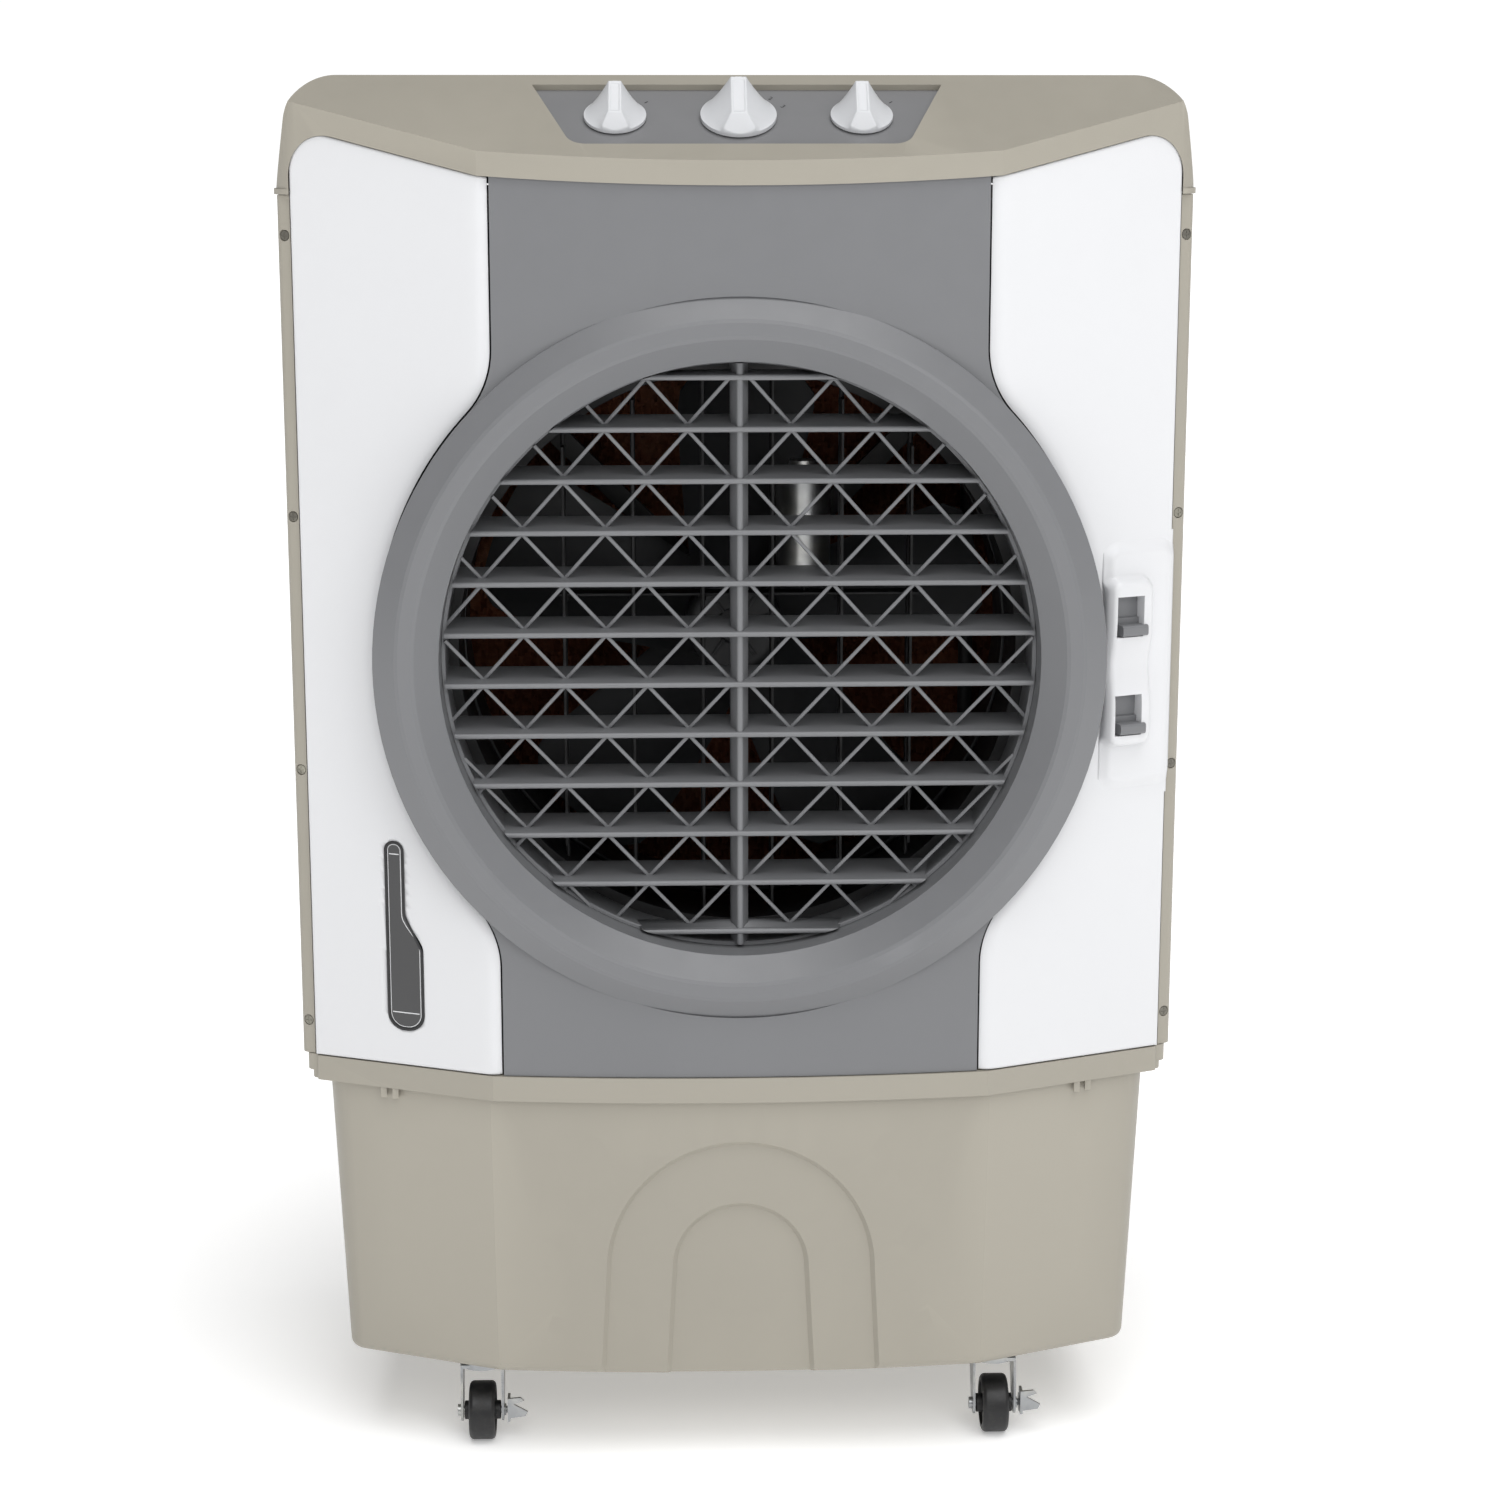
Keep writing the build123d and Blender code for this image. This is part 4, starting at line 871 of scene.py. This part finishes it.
def inside_rounded(s, z, half, radius):
    """Distance inside a rounded rectangle's edge; negative outside it."""
    dx, dz = abs(s) - (half.x - radius), abs(z) - (half.y - radius)
    outside = math.hypot(max(dx, 0.0), max(dz, 0.0))
    return radius - outside - min(max(dx, dz), 0.0)


def tab_rise(s, z):
    """Height of the cover above the panel's surface, at a place on the facet."""
    plate_in = inside_rounded(s - PLATE_S, z + 2 * MM, PLATE_HALF, 14 * MM)
    plate = PLATE_RISE * smooth_step(plate_in, -3 * MM, 8 * MM) - 0.5 * MM * (plate_in < -2.9 * MM)
    bar_in = inside_rounded(s - BAR_S, z - 2 * MM, BAR_HALF, 9 * MM)
    crest = BAR_RISE - SADDLE * math.exp(-((z / (19 * MM)) ** 2))
    bar = crest - rolled(bar_in, 6 * MM) + min(0.0, bar_in) * 4.5
    for middle in (-TAB_SPACING, TAB_SPACING):
        half = TAB_WINDOW_HALF
        if abs(s - TAB_WINDOW_S) <= half.x and abs(z - middle) <= half.y:
            return 2.6 * MM
    return soft_max(plate, bar, 4 * MM)


def tab_lines(low, high, step, edges):
    """Grid lines at an even step, with a close pair at each window edge."""
    lines = spaced(low, high, round((high - low) / step))
    lines = [line for line in lines if all(abs(line - edge) > 0.9 * MM for edge in edges)]
    for edge in edges:
        lines += [edge - 0.5 * MM, edge - 0.01 * MM, edge + 0.01 * MM, edge + 0.5 * MM]
    return sorted(lines)


def tab_cover():
    half = TAB_WINDOW_HALF
    s_edges = [TAB_WINDOW_S - half.x, TAB_WINDOW_S + half.x]
    z_edges = [m + e for m in (-TAB_SPACING, TAB_SPACING) for e in (-half.y, half.y)]
    along = Vector((math.cos(FACET_ANGLE), math.sin(FACET_ANGLE), 0))
    out = Vector((math.sin(FACET_ANGLE), -math.cos(FACET_ANGLE), 0))
    face = WHITE_FACE + BOW_DEPTH + (TAB_ORIGIN_X - CREASE_X) * FACET_SLOPE
    origin = Vector((TAB_ORIGIN_X, face, TAB_MIDDLE_Z))
    rows = []
    for z in tab_lines(-112 * MM, 108 * MM, 1.8 * MM, z_edges):
        row = []
        for s in tab_lines(-31 * MM, 35.5 * MM, 1.4 * MM, s_edges):
            inner = max(s, (seam_x(TAB_MIDDLE_Z + z - RING_Z) + 0.6 * MM - TAB_ORIGIN_X) / along.x)
            row.append(origin + along * inner + out * tab_rise(inner, z) + Vector((0, 0, z)))
        rows.append(row)
    mould = Mould()
    mould.grid(rows)
    piece = mould.piece("tab_cover", "white_plastic", replaces=["tab_housing"], flat_angle=55)
    face_forward(piece)
    thicken(piece, 1.6 * MM)
    return piece


# ---- cooling pads -----------------------------------------------------------------------------------
FLUTE = 15 * MM
FLUTE_DEPTH = 7 * MM
PAD_STEP = 3 * MM
SIDE_PAD_THICK = 30 * MM


def flute_rise(u, v):
    """Edges of crossed, glued corrugated sheets: open cells between wavy walls."""
    first = abs(math.cos(math.pi * (u + 0.55 * v) / FLUTE))
    second = abs(math.cos(math.pi * (u - 0.55 * v) / FLUTE))
    wall = max(first, second) ** 5
    return FLUTE_DEPTH * (wall - 1) + 0.8 * MM * noise.noise(Vector((u * 60, v * 60, 0.5)))


def add_pad(mould, node_low, node_high, axis, faces):
    """A pad's box with fluted faces; axis is its thin direction and faces says which sides are fluted."""
    wide_axis = 1 - axis
    width, height = node_high[wide_axis] - node_low[wide_axis], node_high.z - node_low.z
    us, vs = spaced(0, width, int(width / PAD_STEP)), spaced(0, height, int(height / PAD_STEP))
    rims = []
    for side in (-1, 1):
        fluted = side in faces
        rows = []
        for v in vs if fluted else (vs[0], vs[-1]):
            row = []
            for u in us:
                fall = -flute_rise(u, v) if fluted else 0.0
                if u in (us[0], us[-1]) or v in (vs[0], vs[-1]):
                    fall = 1 * MM if fluted else 0.0
                place = [0.0, 0.0, node_low.z + v]
                place[wide_axis] = node_low[wide_axis] + u
                place[axis] = (node_high if side > 0 else node_low)[axis] - side * fall
                row.append(tuple(place))
            rows.append(row)
        mould.grid(rows, flip=side > 0)
        rims.append(rows)
    for end in (0, -1):
        mould.grid([rims[0][end], rims[1][end]], flip=end == 0)
    for end in (0, -1):
        columns = [[row[end] for row in rows] for rows in rims]
        short = [[c[0], c[-1]] for c in columns]
        mould.grid(short, flip=end == -1)


def pads():
    rear = Mould()
    low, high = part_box("rear_cooling_pad")
    add_pad(rear, low, high, 1, (-1, 1))
    rear.piece("rear_pad_flutes", "cellulose", replaces=["rear_cooling_pad"], flat_angle=50)
    sides = Mould()
    low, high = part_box("side_cooling_pads")
    add_pad(sides, low, Vector((low.x + SIDE_PAD_THICK, high.y, high.z)), 0, (-1,))
    add_pad(sides, Vector((high.x - SIDE_PAD_THICK, low.y, low.z)), high, 0, (1,))
    sides.piece("side_pad_flutes", "cellulose", replaces=["side_cooling_pads"], flat_angle=50)


# ---- dial marks -------------------------------------------------------------------------------------
CONTROL_FACE = -5 * MM
MARK_PROUD = 0.12 * MM
NUMBER_RADIUS = 40 * MM
NUMBER_SIZE = 6.5 * MM
TICK_RADIUS = 34.5 * MM
TICK_DEGREES = 45


def on_dial(knob, radius, degrees, out=0.0):
    centre, uphill, normal = slope_axes(knob)
    angle = math.radians(degrees)
    aside = Vector((1, 0, 0))
    spot = centre + aside * radius * math.cos(angle) + uphill * radius * math.sin(angle)
    return spot + normal * (CONTROL_FACE + out)


def printed_number(number, knob, radius, degrees, size):
    """A number printed on the dial, turned to face its knob."""
    text = bpy.data.curves.new(f"dial_number_{number}", "FONT")
    text.body = str(number)
    text.size = size
    text.align_x = "CENTER"
    text.align_y = "CENTER"
    text.extrude = MARK_PROUD / 2
    source = add_object(f"dial_number_{number}_text", text)
    bpy.context.view_layer.update()
    mesh = bpy.data.meshes.new_from_object(source.evaluated_get(bpy.context.evaluated_depsgraph_get()))
    bpy.data.objects.remove(source)
    _, uphill, _ = slope_axes(knob)
    tilt = math.atan2(uphill.z, uphill.y)
    turn = Matrix.Rotation(tilt, 4, "X") @ Matrix.Rotation(math.radians(degrees - 90) * 0.7, 4, "Z")
    mesh.transform(Matrix.Translation(on_dial(knob, radius, degrees, MARK_PROUD / 2)) @ turn)
    mesh.materials.clear()
    mesh.materials.append(MATERIALS["black_plastic"])
    piece = add_object(f"dial_number_{number}", mesh)
    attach(piece, "housing")


def dial_marks():
    for number, degrees in ((1, 69), (2, 49), (3, 27)):
        printed_number(number, "speed_knob", NUMBER_RADIUS, degrees, NUMBER_SIZE)
    ticks = Mould()
    side = Vector((-math.sin(math.radians(TICK_DEGREES)), 0, 0)) + Vector((0.001, 0.3, 0.1))
    for knob_name in ("cool_knob", "swing_knob"):
        first = on_dial(knob_name, TICK_RADIUS - 1.5 * MM, TICK_DEGREES)
        last = on_dial(knob_name, TICK_RADIUS + 1.8 * MM, TICK_DEGREES)
        ticks.bar(first, last, 1.1 * MM, 0.3 * MM, side)
    ticks.piece("dial_ticks", "black_plastic")


front_grille()
fan()
for knob_name in ("cool_knob", "speed_knob", "swing_knob"):
    knob(knob_name)
left_panel()
white_panel(1, "right")
window_lines()
tab_cover()
pads()
dial_marks()


# ---- stage ------------------------------------------------------------------------------------------
FLOOR_REACH = 40.0
BACKDROP_LEVEL = 1.05
FILL_LEVEL = 0.2


def floor():
    reach = FLOOR_REACH
    mesh = bpy.data.meshes.new("floor")
    mesh.from_pydata(
        [(-reach, -reach, 0), (reach, -reach, 0), (reach, reach, 0), (-reach, reach, 0)], [], [(0, 1, 2, 3)]
    )
    shader = Shader("pale_floor", 0.7)
    speckle = shader.noise(30.0, 3.0)
    shader.paint(shader.blend(speckle, (0.93, 0.93, 0.93), (0.95, 0.95, 0.95)))
    # Painted light: the floor glows at 0.3 near the middle, rising to 0.62 from 1.2 m out, which lifts the shadow
    # under the cooler.
    shader.set(Emission_Color=(1, 1, 1, 1))
    length = shader.tree.nodes.new("ShaderNodeVectorMath")
    length.operation = "LENGTH"
    shader.wire(shader.place, length.inputs[0])
    painted_floor_glow = shader.spread(length.outputs["Value"], 0.3, 0.62, 0.35, 1.2)
    shader.wire(painted_floor_glow, shader.surface.inputs["Emission Strength"])
    mesh.materials.append(shader.material)
    add_object("floor", mesh)


def aimed(made, target):
    made.rotation_euler = (Vector(target) - made.location).to_track_quat("-Z", "Y").to_euler()


def softbox(name, place, target, width, height, radiance):
    """A rectangular soft light of a given brightness; power follows its size."""
    light = bpy.data.lights.new(name, "AREA")
    light.shape = "RECTANGLE"
    light.size = width
    light.size_y = height
    light.energy = radiance * math.pi * width * height
    made = add_object(name, light)
    made.location = place
    aimed(made, target)


def sun(strength, elevation, azimuth, softness):
    light = bpy.data.lights.new("overhead", "SUN")
    light.energy = strength
    light.angle = math.radians(softness)
    made = add_object("overhead", light)
    rise, turn = math.radians(elevation), math.radians(azimuth)
    made.location = (
        5 * math.cos(rise) * math.sin(turn), -5 * math.cos(rise) * math.cos(turn), 5 * math.sin(rise)
    )
    aimed(made, (0, 0, 0))


def studio():
    world = bpy.data.worlds.new("studio")
    bpy.context.scene.world = world
    world.use_nodes = True
    tree = world.node_tree
    background = tree.nodes["Background"]
    background.inputs["Color"].default_value = (1, 1, 1, 1)
    path = tree.nodes.new("ShaderNodeLightPath")
    level = tree.nodes.new("ShaderNodeMapRange")
    level.inputs["To Min"].default_value = FILL_LEVEL
    level.inputs["To Max"].default_value = BACKDROP_LEVEL
    tree.links.new(path.outputs["Is Camera Ray"], level.inputs["Value"])
    tree.links.new(level.outputs["Result"], background.inputs["Strength"])
    softbox("front_softbox", (0.45, -2.75, 2.1), (0, 0, 0.75), 3.0, 1.0, 3.1)
    softbox("right_strip", (2.4, -1.2, 1.3), (0, 0, 0.7), 0.8, 2.0, 0.45)
    sun(1.9, 70, 18, 50)


def camera():
    lens = bpy.data.cameras.new("camera")
    lens.sensor_width = 36.0
    lens.lens = CAMERA_LENS
    made = add_object("camera", lens)
    turn = math.radians(CAMERA_TURN)
    aside = Vector((math.cos(turn), -math.sin(turn), 0)) * CAMERA_ASIDE
    back = Vector((math.sin(turn), math.cos(turn), 0)) * CAMERA_DISTANCE
    made.location = aside - back + Vector((0, 0, CAMERA_HEIGHT))
    made.rotation_euler = (math.radians(90 - CAMERA_PITCH), 0, -turn)
    bpy.context.scene.camera = made


floor()
studio()
camera()
bpy.context.scene.view_settings.view_transform = "Standard"
